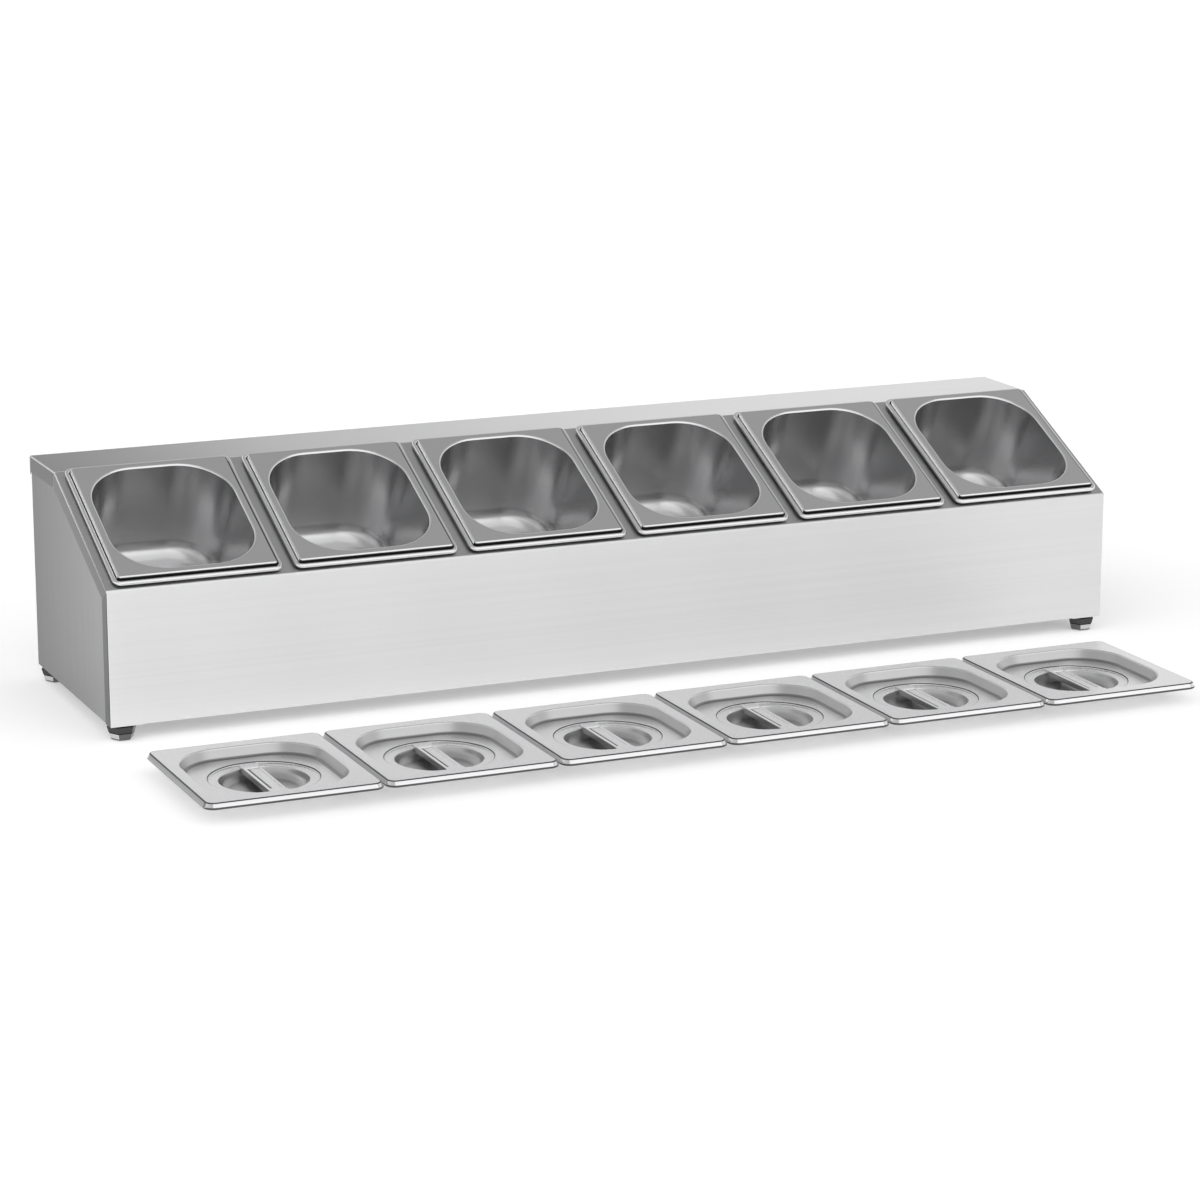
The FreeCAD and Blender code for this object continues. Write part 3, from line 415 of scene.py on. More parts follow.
deep_flap_shade_steel = brushed_steel(
    "brushed_deep_flap_shade_steel", deep_flap_shade_tone, roughness=0.34, grain=even_grain
)
# Painted light and shade: the body's steel lighter towards the left end, darker to the right.
fade_along(body_steel, "X", ends=(-body_end, body_end), shares=(1.06, 0.92))
# Painted shade: the shelf darker towards its left end.
fade_along(shelf_steel, "X", ends=(-body_end, shelf_shade_end), shares=(0.6, 0.97))
# Painted highlight: the fold lines lighter towards the top of the slope.
fade_along(fold_highlight_steel, "Z", ends=(deck_front[1], deck_rear[1]), shares=(0.55, 1))
body_finishes = (
    body_steel, deck_shade_steel, flap_shade_steel, fold_shade_steel, shelf_steel, fold_highlight_steel, deep_flap_shade_steel
)
for steel in body_finishes:
    folded_body.data.materials.append(steel)


def on_deck(point):
    """Whether a point lies on the deck's outer face."""
    return abs((point - corner_front).dot(inward)) < close


def on_front_fold(point):
    """Whether a point lies on the outer part of the fold between the front and its flap."""
    outer_part = 0.3 * flap_bend
    on_end = abs(point.x) > body_end - outer_part
    below_deck = point.z < deck_front[1] - flap_bend
    return on_end and below_deck and point.y < front_y + flap_bend + close


def on_front_flap(point):
    """Whether a point lies on the outer face of a flap of the front panel."""
    return on_flap(point) and point.y < front_y + flap_width + close and point.z < deck_front[1]


def on_shelf_flap(point):
    """Whether a point lies on the outer face of a flap of the shelf."""
    return on_flap(point) and point.y > deck_rear[0] - close


def on_shelf(point):
    """Whether a point lies on the shelf's outer face."""
    return abs(point.z - shelf_rear[1]) < close


def on_top_fold(point):
    """Whether a point lies on a fold from the deck or the shelf to its flap."""
    depth = min((point - origin).dot(across) for _, across, origin, _, _ in flaps[1:])
    return abs(point.x) > body_end - flap_bend - close and depth < flap_bend + close


def on_free_edge(some_flaps):
    """A test for points on the deburred free edges of some of the flaps."""
    def test(point):
        reaches = [(point - origin).dot(across) for _, across, origin, _, _ in some_flaps]
        at_edge = any(abs(reach - flap_width) < flap_burr + close for reach in reaches)
        return at_edge and abs(point.x) > body_end - flap_burr - close
    return test


def use_steel(piece, steel):
    """In edit mode, give what is selected one of the piece's steels."""
    piece.active_material_index = piece.data.materials.find(steel.name)
    bpy.ops.object.material_slot_assign()


choose(folded_body)
bpy.ops.object.mode_set(mode="EDIT")
# The deck's face takes its painted shade, and the shelf its steel painted darker to the left.
for test, steel in ((on_deck, deck_shade_steel), (on_shelf, shelf_steel)):
    pick("FACE", test)
    use_steel(folded_body, steel)
# Painted shade on the flaps and the folds at the ends, and a painted highlight on the top folds;
# the front flaps' free edges keep the body's lighter tone.
end_finishes = (
    (on_front_fold, fold_shade_steel),
    (on_flap, flap_shade_steel),
    (on_front_flap, deep_flap_shade_steel),
    (on_shelf_flap, deep_flap_shade_steel),
    (on_top_fold, fold_highlight_steel),
    (on_free_edge(flaps[1:]), fold_shade_steel),
    (on_free_edge(flaps[:1]), body_steel),
)
for side in (-1, 1):
    for test, steel in end_finishes:
        pick("FACE", lambda point: side * point.x > 0 and test(point))
        use_steel(folded_body, steel)
bpy.ops.object.mode_set(mode="OBJECT")
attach(folded_body, "rack")
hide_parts("deck_shell")


# End panels
# Flat sheets of the same brushed steel, spot-welded inside the flaps of the folded body.
# Their lower and rear edges are turned in, and the grain runs upright.
# Painted shade: the end panels take a much darker copy of the body's steel.
end_shade_tone, upright = (0.2, 0.2, 0.203), (1500, 1500, 6)
end_shade_steel = brushed_steel(
    "brushed_end_shade_steel", end_shade_tone, roughness=0.34, grain=upright, tangent="Y", stretch=0.5
)
# Painted shade: lighter at the front, darker towards the rear.
fade_along(end_shade_steel, "Y", ends=(body_low.y, body_high.y), shares=(1.5, 0.6))
for node in ("left_end_panel", "right_end_panel"):
    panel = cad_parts[node]
    panel.data.materials.clear()
    panel.data.materials.append(end_shade_steel)


# Back panel
# One flat sheet that closes the rear, welded inside the shelf's rear return.
# Its lower edge is turned in, and its grain runs along the rack.
back_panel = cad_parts["back_panel"]
back_panel.data.materials.clear()
# The body's steel, with its painted gradient of light and shade along the rack.
back_panel.data.materials.append(body_steel)


# Corner brackets, weld nuts and studs
# Thicker plain steel, welded into the rack's lower corners to carry the feet.
# A threaded stud runs up from each foot through its bracket and nut.
plain_tone, rolled = (0.56, 0.56, 0.57), (260, 260, 260)
plain_steel = brushed_steel(
    "plain_bracket_steel", plain_tone, roughness=0.42, grain=rolled, depth=3.0
)
corners = ("front_left", "front_right", "rear_left", "rear_right")
hardware = ["foot_nuts"]
hardware += [f"foot_bracket_{corner}" for corner in corners]
hardware += [f"foot_stud_{corner}" for corner in corners]
for node in hardware:
    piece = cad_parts[node]
    piece.data.materials.clear()
    piece.data.materials.append(plain_steel)


# Levelling feet
# Milled from hexagonal bar, tapered towards the counter, with rounded edges and a groove at
# mid-height. Its tones are painted shade: dark, darker above the groove, with one flat below it
# lighter as a painted highlight. A threaded neck screws upwards.
foot_flats, foot_taper = 25 * mm, 15
foot_body, foot_neck = 13.5 * mm, 1.5 * mm
toe_round, top_round = 2 * mm, 0.6 * mm
foot_groove, groove_half, groove_cut = 7 * mm, 0.5 * mm, 0.95
neck_radius, thread_pitch, thread_depth = 7 * mm, 0.75 * mm, 0.94
bpy.ops.object.select_all(action="DESELECT")
bpy.ops.mesh.primitive_cylinder_add(
    vertices=6, radius=foot_flats / math.sqrt(3), depth=foot_body, location=(0, 0, foot_body / 2)
)
foot = bpy.context.object
foot.name = "hex_foot"
bpy.ops.object.transform_apply(location=True, rotation=True, scale=True)
bpy.ops.object.mode_set(mode="EDIT")
bpy.ops.mesh.select_all(action="SELECT")
bpy.ops.transform.rotate(value=math.pi / 6, orient_axis="Z", center_override=(0, 0, 0))
pick("VERT", lambda point: point.z < close)
narrow = 1 - 2 * foot_body * math.tan(math.radians(foot_taper)) / foot_flats
bpy.ops.transform.resize(value=(narrow, narrow, 1), center_override=(0, 0, 0))
pick("EDGE", lambda point: point.z < close)
bpy.ops.mesh.bevel(offset=toe_round, segments=5, affect="EDGES")
pick("EDGE", lambda point: point.z > foot_body - close)
bpy.ops.mesh.bevel(offset=top_round, segments=3, affect="EDGES")
pick("FACE", lambda point: point.z > foot_body - close)
bpy.ops.mesh.delete(type="ONLY_FACE")
bpy.ops.mesh.select_all(action="DESELECT")
bpy.ops.mesh.primitive_circle_add(vertices=36, radius=neck_radius, location=(0, 0, foot_body))
pick("EDGE", lambda point: point.z > foot_body - close)
bpy.ops.mesh.bridge_edge_loops()
pick("EDGE", lambda p: p.z > foot_body - close and math.hypot(p.x, p.y) < neck_radius + close)
for _ in range(round(foot_neck / thread_pitch)):
    for grow in (thread_depth, 1 / thread_depth):
        pull(0, 0, thread_pitch / 2)
        bpy.ops.transform.resize(value=(grow, grow, 1), center_override=(0, 0, 0))
bpy.ops.mesh.edge_face_add()
for level in (-groove_half, 0, groove_half):
    bpy.ops.mesh.select_all(action="SELECT")
    bpy.ops.mesh.bisect(plane_co=(0, 0, foot_groove + level), plane_no=(0, 0, 1))
pick("VERT", lambda point: abs(point.z - foot_groove) < close)
bpy.ops.transform.resize(value=(groove_cut, groove_cut, 1), center_override=(0, 0, 0))
bpy.ops.mesh.select_all(action="SELECT")
bpy.ops.mesh.normals_make_consistent(inside=False)
# Painted shade on the foot, darker above the groove, and a painted highlight on one flat.
foot_shade_tone, upper_shade_tone = (0.15, 0.15, 0.152), (0.07, 0.07, 0.072)
flat_highlight_tone, milled = (0.62, 0.62, 0.624), (700, 700, 700)
milled_steel = brushed_steel("milled_foot_steel", foot_shade_tone, roughness=0.14, grain=milled)
upper_shade_steel = brushed_steel("painted_shade_foot_steel", upper_shade_tone, roughness=0.2, grain=milled)
flat_highlight_steel = brushed_steel("painted_highlight_foot_steel", flat_highlight_tone, roughness=0.12, grain=milled)
for steel in (milled_steel, upper_shade_steel, flat_highlight_steel):
    foot.data.materials.append(steel)
# Painted shade above the groove.
pick("FACE", lambda point: point.z > foot_groove - groove_half - close)
use_steel(foot, upper_shade_steel)
bpy.ops.object.mode_set(mode="OBJECT")
smooth(foot, angle=30)


def stand_in(piece, box):
    """Move a piece that was made at the origin to the middle of a box, and apply its place."""
    low, high = box
    piece.location = ((low.x + high.x) / 2, (low.y + high.y) / 2, 0)
    choose(piece)
    bpy.ops.object.transform_apply(location=True, rotation=True, scale=True)


# The way that each foot's flat with the painted highlight faces, in degrees from the X axis
highlight_flats = (210, 270, 210, 270)
for corner, facing in zip(corners, highlight_flats):
    piece = copy_piece(foot, f"hex_foot_{corner}")
    towards = Vector((math.cos(math.radians(facing)), math.sin(math.radians(facing)), 0))

    def on_highlight_flat(point):
        """Whether a point lies on the flat with the painted highlight."""
        reach = foot_flats / 2 - (foot_body - point.z) * math.tan(math.radians(foot_taper))
        return point.z < foot_groove and abs(point.dot(towards) - reach) < close

    choose(piece)
    bpy.ops.object.mode_set(mode="EDIT")
    # A painted highlight on one flat.
    pick("FACE", on_highlight_flat)
    use_steel(piece, flat_highlight_steel)
    bpy.ops.object.mode_set(mode="OBJECT")
    stand_in(piece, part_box(f"foot_{corner}"))
    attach(piece, f"foot_{corner}")
    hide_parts(f"foot_{corner}")
bpy.data.objects.remove(foot)


# Pans
# Each is deep-drawn from one sheet of steel: a rolled bead round the rim, a stepped flange, a
# rounded mouth, and a tapered cup with a soft floor edge. The rim is polished, the rest satin.
# Painted shade darkens the duller groove and the step up from it, and the step's rounded right
# edge; a painted highlight lightens the step's wall on the left. A pan hangs by its flange on
# the deck's collar.
rim_width, rim_length, rim_corner = 162 * mm, 176 * mm, 8 * mm
rim_top = 9 * mm
pan_depth, pan_sheet = 100 * mm, 0.8 * mm
bead_radius, bead_height = 2.2 * mm, 3.8 * mm
bead_turn, bead_tuck = 20, 300
groove_round, step_round = 0.5 * mm, 1.3 * mm
mouth_width, mouth_length, mouth_corner = 136 * mm, 150 * mm, 48 * mm
mouth_round, floor_round = 2 * mm, 18 * mm
pan_draft = 4.5


def arc(inset, height, radius, first, last, steps):
    """Points of a profile on an arc about a centre, between two angles in degrees."""
    points = []
    for index in range(steps + 1):
        angle = math.radians(first + (last - first) * index / steps)
        points.append((inset + radius * math.cos(angle), height + radius * math.sin(angle)))
    return points


def press(profile, up=1):
    """In edit mode, draw the selected face in along a profile of (inset, height) points."""
    for (inset, height), (next_inset, next_height) in zip(profile, profile[1:]):
        sideways, upwards = next_inset - inset, next_height - height
        if math.hypot(sideways, upwards) > close:
            bpy.ops.mesh.inset(thickness=max(sideways, 0), depth=up * upwards)


def join_rings(height):
    """In edit mode, bridge the two open rings that lie at one height."""
    pick("EDGE", lambda point: abs(point.z - height) < close)
    bpy.ops.mesh.bridge_edge_loops()


pan_tone, polish_tone = (0.64, 0.64, 0.645), (0.8, 0.8, 0.805)
# Painted shade for the groove, and a painted highlight for the step's left wall.
groove_shade_tone, step_highlight_tone = (0.05, 0.05, 0.052), (0.95, 0.95, 0.955)
step_highlight_metal = 0.25
satin = {"grain": (500, 500, 500), "depth": 0.15}
polished = {"grain": (700, 700, 700), "depth": 0.1}
dull = {"grain": (700, 700, 700), "roughness": 0.35}
pan_steel = brushed_steel("satin_pan_steel", pan_tone, roughness=0.26, **satin)
polished_steel = brushed_steel("polished_rim_steel", polish_tone, roughness=0.12, **polished)
groove_shade_steel = brushed_steel("painted_groove_shade_steel", groove_shade_tone, **dull)
step_highlight_steel = brushed_steel("painted_step_highlight_steel", step_highlight_tone, roughness=0.4, **polished)
step_highlight_steel.node_tree.nodes["Principled BSDF"].inputs["Metallic"].default_value = step_highlight_metal
pan = new_piece("drawn_pan")
for steel in (pan_steel, polished_steel, groove_shade_steel, step_highlight_steel):
    pan.data.materials.append(steel)
# The upper half of the bead, the groove beside it, and the step up to the flange
rounded_face(rim_width, rim_length, rim_corner, bead_height, corner_segments)
use_steel(pan, polished_steel)
bead = arc(bead_radius, bead_height, bead_radius, 180, bead_turn, steps=8)
turn = math.radians(bead_turn)
groove_inset = bead_radius + (bead_radius + groove_round) * math.cos(turn)
groove_height = bead_height + (bead_radius + groove_round) * math.sin(turn)
groove = arc(groove_inset, groove_height, groove_round, 180 + bead_turn, 360, steps=6)
step_inset = groove_inset + groove_round + step_round
step = arc(step_inset, rim_top - step_round, step_round, 180, 90, steps=6)
press(bead)
# Painted shade in the groove and on the step up from it.
use_steel(pan, groove_shade_steel)
press(bead[-1:] + groove + step[:1])
use_steel(pan, polished_steel)
press(step)
bpy.ops.mesh.delete(type="ONLY_FACE")
# A painted highlight on the step's left wall, and painted shade on its rounded right edge.
step_wall = step_inset - step_round - rim_width / 2
pick("FACE", lambda point: abs(point.x - step_wall) < close)
use_steel(pan, step_highlight_steel)
step_top, step_side = rim_top - step_round, rim_width / 2 - step_inset
pick("FACE", lambda point: point.z > step_top - close and point.x > step_side - close)
use_steel(pan, groove_shade_steel)
# The lower half of the bead, rolled under
rounded_face(rim_width, rim_length, rim_corner, bead_height, corner_segments)
use_steel(pan, polished_steel)
bpy.ops.mesh.flip_normals()
press(arc(bead_radius, bead_height, bead_radius, 180, bead_tuck, steps=8), up=-1)
bpy.ops.mesh.delete(type="ONLY_FACE")
# The mouth, the wall and the floor
mouth_grow = 2 * mouth_round
rounded_face(
    mouth_width + mouth_grow, mouth_length + mouth_grow, mouth_corner + mouth_round, rim_top,
    corner_segments,
)
mouth = arc(0, rim_top - mouth_round, mouth_round, 90, pan_draft, steps=8)
floor_height = rim_top - pan_depth + pan_sheet
slant = math.radians(pan_draft)
wall_end = floor_height + floor_round * (1 - math.sin(slant))
wall_inset = mouth[-1][0] + (mouth[-1][1] - wall_end) * math.tan(slant)
floor_inset = wall_inset + floor_round * math.cos(slant)
floor_edge = arc(
    floor_inset, floor_height + floor_round, floor_round, 180 + pan_draft, 270, steps=10
)
use_steel(pan, polished_steel)
press(mouth)
use_steel(pan, pan_steel)
press(mouth[-1:] + floor_edge)
join_rings(rim_top)
pick("FACE", lambda point: abs(point.z - rim_top) < close)
use_steel(pan, pan_steel)
bpy.ops.mesh.select_all(action="SELECT")
bpy.ops.mesh.remove_doubles(threshold=close)
bpy.ops.object.mode_set(mode="OBJECT")
finish_with(pan, "SOLIDIFY", thickness=pan_sheet, offset=-1, use_even_offset=True)
smooth(pan, angle=35)
for index, x in enumerate(pan_places, start=1):
    piece = copy_piece(pan, f"drawn_pan_{index}")
    place_on_deck(piece, x)
    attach(piece, f"pan_{index}")
    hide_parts(f"pan_{index}")
bpy.data.objects.remove(pan)


# Lids
# Each is pressed from one sheet of steel: a flared skirt, a flat flange, a sunk panel with soft
# edges, a shallow ring, and a round well for the fingers. The finish is satin, duller and dark
# with painted shade in the well, on the sunk panel's wall, on the left skirt and along the bends,
# and the edge is rolled under in a small hem, dark with painted shade too.
lid_corner, lid_sheet = 10 * mm, 0.8 * mm
lid_top, skirt_height, skirt_flare = 21.3 * mm, 6 * mm, 28
skirt_round, hem_round = 1.5 * mm, 1.5 * mm
recess_width, recess_length, recess_corner = 134 * mm, 142 * mm, 46 * mm
recess_level, recess_draft = 11.8 * mm, 28
recess_round, recess_floor_round = 2 * mm, 3 * mm
ring_radius, ring_level, ring_round = 49 * mm, 10.3 * mm, 0.75 * mm
well_radius, well_floor = 40 * mm, 0.8 * mm
well_round, well_bowl, well_draft = 1.5 * mm, 8.5 * mm, 20
# Painted shade: a darker copy of the lid's steel for the sunk panel's wall, the left skirt and the
# well.
lid_tone, lid_shade_tone = (0.8, 0.8, 0.805), (0.54, 0.54, 0.544)
# Painted shade: darker copies still for the hem, the skirt's top bend, the ring's edge, the foot of
# the sunk panel and the bar's sides.
crease_shade_tone, bend_shade_tone = (0.1, 0.1, 0.102), (0.3, 0.3, 0.303)
lid_steel = brushed_steel("satin_lid_steel", lid_tone, roughness=0.27, **satin)
crease_shade_steel = brushed_steel("painted_crease_shade_steel", crease_shade_tone, **dull)
lid_shade_steel = brushed_steel("painted_lid_shade_steel", lid_shade_tone, roughness=0.32, **satin)
bend_shade_steel = brushed_steel("painted_bend_shade_steel", bend_shade_tone, roughness=0.35, **satin)
lid = new_piece("pressed_lid")
for steel in (lid_steel, polished_steel, crease_shade_steel, lid_shade_steel, bend_shade_steel):
    lid.data.materials.append(steel)
# The hem rolled under, then the skirt and the edge of the flange; the hem and the bend at the
# top of the skirt are dark with painted shade
hem_height = lid_top - skirt_height + hem_round
rounded_face(rim_width, rim_length, lid_corner, hem_height, corner_segments)
use_steel(lid, crease_shade_steel)
bpy.ops.mesh.flip_normals()
press(arc(hem_round, hem_height, hem_round, 180, 270, steps=5), up=-1)
bpy.ops.mesh.delete(type="ONLY_FACE")
rounded_face(rim_width, rim_length, lid_corner, hem_height, corner_segments)
hem = arc(hem_round, hem_height, hem_round, 180, 180 - skirt_flare, steps=3)
flare = math.radians(skirt_flare)
bend_height = lid_top - skirt_round * (1 - math.sin(flare))
skirt_run = (bend_height - hem[-1][1]) * math.tan(flare)
bend_inset = hem[-1][0] + skirt_run + skirt_round * math.cos(flare)
bend = arc(bend_inset, lid_top - skirt_round, skirt_round, 180 - skirt_flare, 90, steps=5)
use_steel(lid, crease_shade_steel)
press(hem)
use_steel(lid, polished_steel)
press(hem[-1:] + bend[:1])
use_steel(lid, crease_shade_steel)
press(bend)
bpy.ops.mesh.delete(type="ONLY_FACE")
# Painted shade on the left skirt.
skirt_side = bend[0][0] - rim_width / 2
pick("FACE", lambda p: p.x < skirt_side + close and hem_height < p.z < bend_height + close)
use_steel(lid, lid_shade_steel)
# The sunk panel
slant = math.radians(recess_draft)
grow = recess_round * math.tan((math.pi / 2 - slant) / 2)
rounded_face(
    recess_width + 2 * grow, recess_length + 2 * grow, recess_corner + grow, lid_top,
    corner_segments,
)
edge = arc(0, lid_top - recess_round, recess_round, 90, recess_draft, steps=6)
wall_end = recess_level + recess_floor_round * (1 - math.sin(slant))
wall_inset = edge[-1][0] + (edge[-1][1] - wall_end) * math.tan(slant)
floor_inset = wall_inset + recess_floor_round * math.cos(slant)
recess_foot = arc(
    floor_inset, recess_level + recess_floor_round, recess_floor_round, 180 + recess_draft, 270,
    steps=6,
)
press(edge)
# Painted shade on the sunk panel's wall.
use_steel(lid, lid_shade_steel)
press(edge[-1:] + recess_foot[:1])
# Darker painted shade along the foot of the sunk panel's wall.
use_steel(lid, bend_shade_steel)
press(recess_foot)
bpy.ops.mesh.delete(type="ONLY_FACE")
join_rings(lid_top)
pick("FACE", lambda point: abs(point.z - lid_top) < close)
use_steel(lid, lid_steel)
# The ring and the finger well
ring_points = 4 * (corner_segments + 1)
bpy.ops.mesh.select_mode(type="FACE")
bpy.ops.mesh.select_all(action="DESELECT")
bpy.ops.mesh.primitive_circle_add(
    vertices=ring_points, radius=ring_radius + ring_round, fill_type="NGON",
    location=(0, 0, recess_level),
)
ring_edge = arc(0, recess_level - ring_round, ring_round, 90, 0, steps=4)
ring_foot = arc(2 * ring_round, ring_level + ring_round, ring_round, 180, 270, steps=4)
slant = math.radians(well_draft)
well_start = ring_radius + ring_round - well_radius
well_start -= well_round * math.tan((math.pi / 2 - slant) / 2)
well_edge = arc(well_start, ring_level - well_round, well_round, 90, well_draft, steps=5)
wall_end = well_floor + well_bowl * (1 - math.sin(slant))
wall_inset = well_edge[-1][0] + (well_edge[-1][1] - wall_end) * math.tan(slant)
bowl_inset = wall_inset + well_bowl * math.cos(slant)
bowl = arc(bowl_inset, well_floor + well_bowl, well_bowl, 180 + well_draft, 270, steps=8)
# Painted shade on the ring's edge.
use_steel(lid, crease_shade_steel)
press(ring_edge)
use_steel(lid, lid_steel)
press(ring_edge[-1:] + ring_foot + well_edge)
# Painted shade in the finger well.
use_steel(lid, lid_shade_steel)
press(well_edge[-1:] + bowl)
join_rings(recess_level)
pick("FACE", lambda point: abs(point.z - recess_level) < close)
use_steel(lid, lid_steel)
bpy.ops.mesh.select_all(action="SELECT")
bpy.ops.mesh.remove_doubles(threshold=close)
bpy.ops.object.mode_set(mode="OBJECT")
finish_with(lid, "SOLIDIFY", thickness=lid_sheet, offset=-1, use_even_offset=True)
smooth(lid, angle=35)
for index in range(1, pan_count + 1):
    piece = copy_piece(lid, f"pressed_lid_{index}")
    stand_in(piece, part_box(f"lid_{index}"))
    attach(piece, f"lid_{index}")
    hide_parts(f"lid_{index}")
bpy.data.objects.remove(lid)


# Lid handles
# A strip of the lid's steel, welded across each finger well with its ends on the ring.
# Its long sides are folded down for a grip, and a shallow flute stiffens its top.
bar_width, bar_length, bar_sheet = 17 * mm, 94 * mm, 1.2 * mm
bar_side, bar_bend, bar_corner = 4 * mm, 1.2 * mm, 3 * mm
bar_free = 36 * mm
flute_edge, flute_run, flute_depth = 2.6 * mm, 0.7 * mm, 0.9 * mm
flute_shade = 2.2 * mm
bar_top = ring_level + bar_sheet
handle = new_piece("folded_bar")
for steel in (lid_steel, polished_steel, crease_shade_steel, bend_shade_steel):
    handle.data.materials.append(steel)
rounded_face(bar_width, bar_length, bar_corner, bar_top, segments=6)
for y in (-bar_free, bar_free):
    bpy.ops.mesh.select_all(action="SELECT")
    bpy.ops.mesh.bisect(plane_co=(0, y, 0), plane_no=(0, 1, 0))
pick("FACE", lambda point: abs(point.y) < bar_free + close)
bpy.ops.mesh.inset(thickness=flute_edge)
bpy.ops.mesh.inset(thickness=flute_run, depth=-flute_depth)
bpy.ops.mesh.inset(thickness=flute_shade)
flute_side = flute_edge + flute_run - bar_width / 2
# Painted shade on a strip of the flute's floor beside its left wall.
pick("FACE", lambda p: flute_side - close < p.x < flute_side + flute_shade + close)
use_steel(handle, crease_shade_steel)
for side in (-1, 1):
    edge_x = side * bar_width / 2

    def on_bar_edge(point):
        """Whether a point lies on this long side of the bar's free length."""
        return abs(point.x - edge_x) < close and abs(point.y) < bar_free + close

    def beside_flute(point):
        """Whether a point lies on the bar's top between this long side and the flute."""
        reach = bar_width / 2 - flute_edge
        return side * point.x > reach - close and abs(point.y) < bar_free + close

    pick("FACE", beside_flute)
    use_steel(handle, polished_steel)
    pick("EDGE", on_bar_edge)
    pull(0, 0, -bar_side - bar_sheet)
    # Painted shade on the bar's folded-down sides.
    pick("FACE", on_bar_edge)
    use_steel(handle, bend_shade_steel)
    pick("EDGE", lambda p: on_bar_edge(p) and abs(p.z - bar_top) < close)
    bpy.ops.mesh.bevel(offset=bar_bend, segments=4, affect="EDGES")
bpy.ops.mesh.select_all(action="SELECT")
bpy.ops.mesh.normals_make_consistent(inside=False)
bpy.ops.object.mode_set(mode="OBJECT")
finish_with(handle, "SOLIDIFY", thickness=bar_sheet, offset=-1, use_even_offset=True)
smooth(handle, angle=35)
for index in range(1, pan_count + 1):
    piece = copy_piece(handle, f"folded_bar_{index}")
    stand_in(piece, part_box(f"lid_handle_{index}"))
    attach(piece, f"lid_{index}")
    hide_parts(f"lid_handle_{index}")
bpy.data.objects.remove(handle)


# Counter
# A plain white counter top under the rack and the lids, which takes their soft shadows.
# It shows white to the camera and in the steel, and lights the rack as plain white paint does.
counter_size, counter_level = 60, -0.2 * mm
paint_tone, glow_strength = (0.66, 0.66, 0.66), 0.36
bpy.ops.object.select_all(action="DESELECT")
bpy.ops.mesh.primitive_plane_add(size=counter_size, location=(0, 0, counter_level))
counter = bpy.context.object
counter.name = "counter"
bpy.ops.object.transform_apply(location=True, rotation=True, scale=True)
counter_white = bpy.data.materials.new("counter_white")
counter_white.use_nodes = True
nodes, links = counter_white.node_tree.nodes, counter_white.node_tree.links
nodes.remove(nodes["Principled BSDF"])
paint = nodes.new("ShaderNodeBsdfDiffuse")
paint.inputs["Color"].default_value = (*paint_tone, 1)
glow = nodes.new("ShaderNodeEmission")
glow.inputs["Strength"].default_value = glow_strength
lifted = nodes.new("ShaderNodeAddShader")
links.new(paint.outputs["BSDF"], lifted.inputs[0])
links.new(glow.outputs["Emission"], lifted.inputs[1])


def seen_directly(nodes, links):
    """One for rays from the camera and from glossy and clear surfaces, nought for the rest."""
    path = nodes.new("ShaderNodeLightPath")
    total = path.outputs["Is Camera Ray"]
    for name in ("Is Glossy Ray", "Is Transmission Ray"):
        either = nodes.new("ShaderNodeMath")
        either.operation = "MAXIMUM"
        links.new(total, either.inputs[0])
        links.new(path.outputs[name], either.inputs[1])
        total = either.outputs["Value"]
    return total


choice = nodes.new("ShaderNodeMixShader")
links.new(seen_directly(nodes, links), choice.inputs["Fac"])
links.new(paint.outputs["BSDF"], choice.inputs[1])
links.new(lifted.outputs["Shader"], choice.inputs[2])
links.new(choice.outputs["Shader"], nodes["Material Output"].inputs["Surface"])
counter.data.materials.append(counter_white)


# Studio
# A white room that greys towards the ceiling and above the horizon in its far left corner, with
# a wide soft key lamp in front on the right and a long soft box behind on the left.
room_white, fill_strength = (1, 1, 1, 1), 2.15
up, down = (0, 0, 1), (0, 0, -1)
far_left, far_right = (-0.6, 0.8, 0), (0.45, 0.7, 0.55)
world = bpy.data.worlds.new("studio")
bpy.context.scene.world = world
world.use_nodes = True
nodes, links = world.node_tree.nodes, world.node_tree.links
room = nodes["Background"]
around = nodes.new("ShaderNodeTexCoord")


def shade_towards(direction, start, stop, level):
    """A factor that falls from one to a level as the view turns towards a direction."""
    turn = nodes.new("ShaderNodeVectorMath")
    turn.operation = "DOT_PRODUCT"
    turn.inputs[1].default_value = direction
    fall = nodes.new("ShaderNodeMapRange")
    fall.interpolation_type = "SMOOTHSTEP"
    fall.inputs["From Min"].default_value = start
    fall.inputs["From Max"].default_value = stop
    fall.inputs["To Min"].default_value = 1
    fall.inputs["To Max"].default_value = level
    links.new(around.outputs["Generated"], turn.inputs[0])
    links.new(turn.outputs["Value"], fall.inputs["Value"])
    return fall.outputs["Result"]


def joined(operation, first, second):
    """Two factors, or a factor and a number, put together by one operation."""
    node = nodes.new("ShaderNodeMath")
    node.operation = operation
    links.new(first, node.inputs[0])
    if isinstance(second, (int, float)):
        node.inputs[1].default_value = second
    else:
        links.new(second, node.inputs[1])
    return node.outputs["Value"]


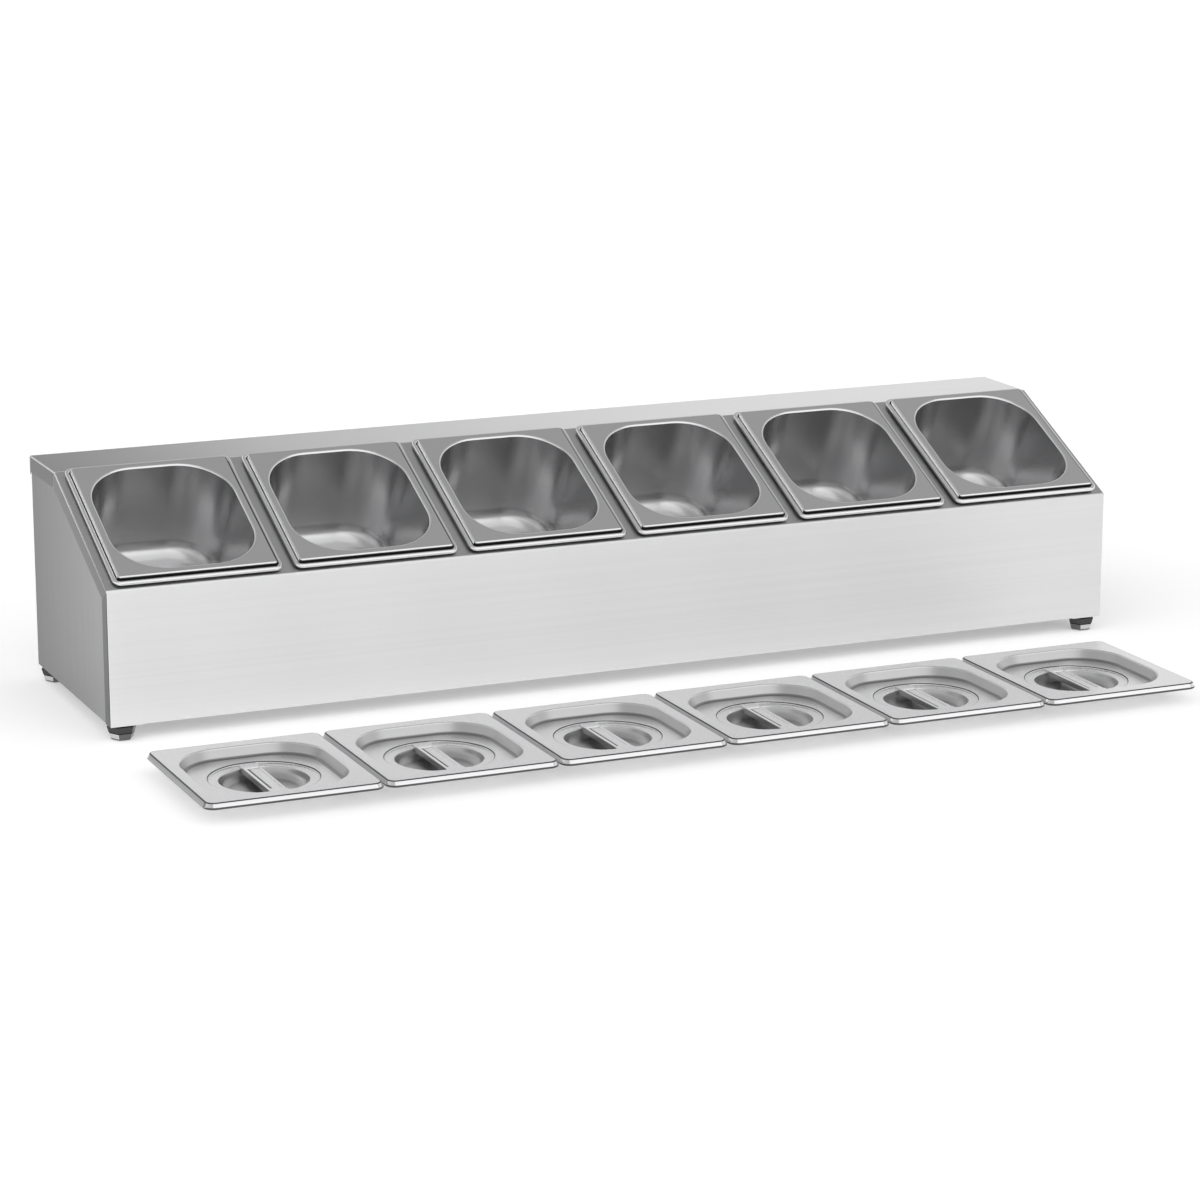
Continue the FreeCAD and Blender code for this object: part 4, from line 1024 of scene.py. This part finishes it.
ceiling = shade_towards(up, start=0.1, stop=0.85, level=0.45)
far_corner = shade_towards(far_left, start=0.42, stop=0.66, level=0.25)
above_corner = shade_towards(down, start=-0.42, stop=-0.24, level=0)
below_corner = shade_towards(up, start=0.05, stop=0.13, level=0)
walls = joined("MAXIMUM", joined("MAXIMUM", far_corner, above_corner), below_corner)
links.new(joined("MULTIPLY", ceiling, walls), room.inputs["Strength"])
room.inputs["Color"].default_value = room_white
fill = nodes.new("ShaderNodeBackground")
fill.inputs["Color"].default_value = room_white
frontal = shade_towards(far_right, start=-0.6, stop=0.6, level=0.25)
links.new(joined("MULTIPLY", frontal, fill_strength), fill.inputs["Strength"])
choice = nodes.new("ShaderNodeMixShader")
links.new(seen_directly(nodes, links), choice.inputs["Fac"])
links.new(fill.outputs["Background"], choice.inputs[1])
links.new(room.outputs["Background"], choice.inputs[2])
links.new(choice.outputs["Shader"], nodes["World Output"].inputs["Surface"])


rack_middle = Vector((0, 0.05, 0.1))
key_spread, key_power, key_place = 64, 0.45, (0.8, -2.5, 2.8)
box_width, box_height, box_power, box_place = 2.4, 0.6, 4.2, (-1.9, 3.0, 1.6)


def hang(lamp, place):
    """Hang a lamp at a place and aim it at the rack."""
    holder = bpy.data.objects.new(lamp.name, lamp)
    bpy.context.scene.collection.objects.link(holder)
    holder.location = place
    aim = rack_middle - Vector(place)
    holder.rotation_euler = aim.to_track_quat("-Z", "Y").to_euler()
    holder.visible_camera = False


key_lamp = bpy.data.lights.new("key_lamp", "SUN")
key_lamp.angle = math.radians(key_spread)
key_lamp.energy = key_power
hang(key_lamp, key_place)
soft_box = bpy.data.lights.new("soft_box", "AREA")
soft_box.shape = "RECTANGLE"
soft_box.size = box_width
soft_box.size_y = box_height
soft_box.energy = box_power
hang(soft_box, box_place)


# Camera
# A long lens in front of the rack, on its left and a little above it, as in the photograph.
# Its place and its turn come from a fit to the rack's corners and the pans' rims.
film_width, focal_length, furthest = 36, 110.18, 100
camera_left, camera_front, camera_height = 1411.3 * mm, 3110.5 * mm, 917.5 * mm
camera_turn = (76.035, -0.092, -23.834)
camera_data = bpy.data.cameras.new("camera")
camera_data.sensor_width = film_width
camera_data.sensor_fit = "HORIZONTAL"
camera_data.lens = focal_length
camera_data.clip_end = furthest
camera = bpy.data.objects.new("camera", camera_data)
bpy.context.scene.collection.objects.link(camera)
camera.location = (-camera_left, front_y - camera_front, base_z + camera_height)
camera.rotation_euler = [math.radians(angle) for angle in camera_turn]
bpy.context.scene.camera = camera
bpy.context.scene.view_settings.view_transform = "Standard"
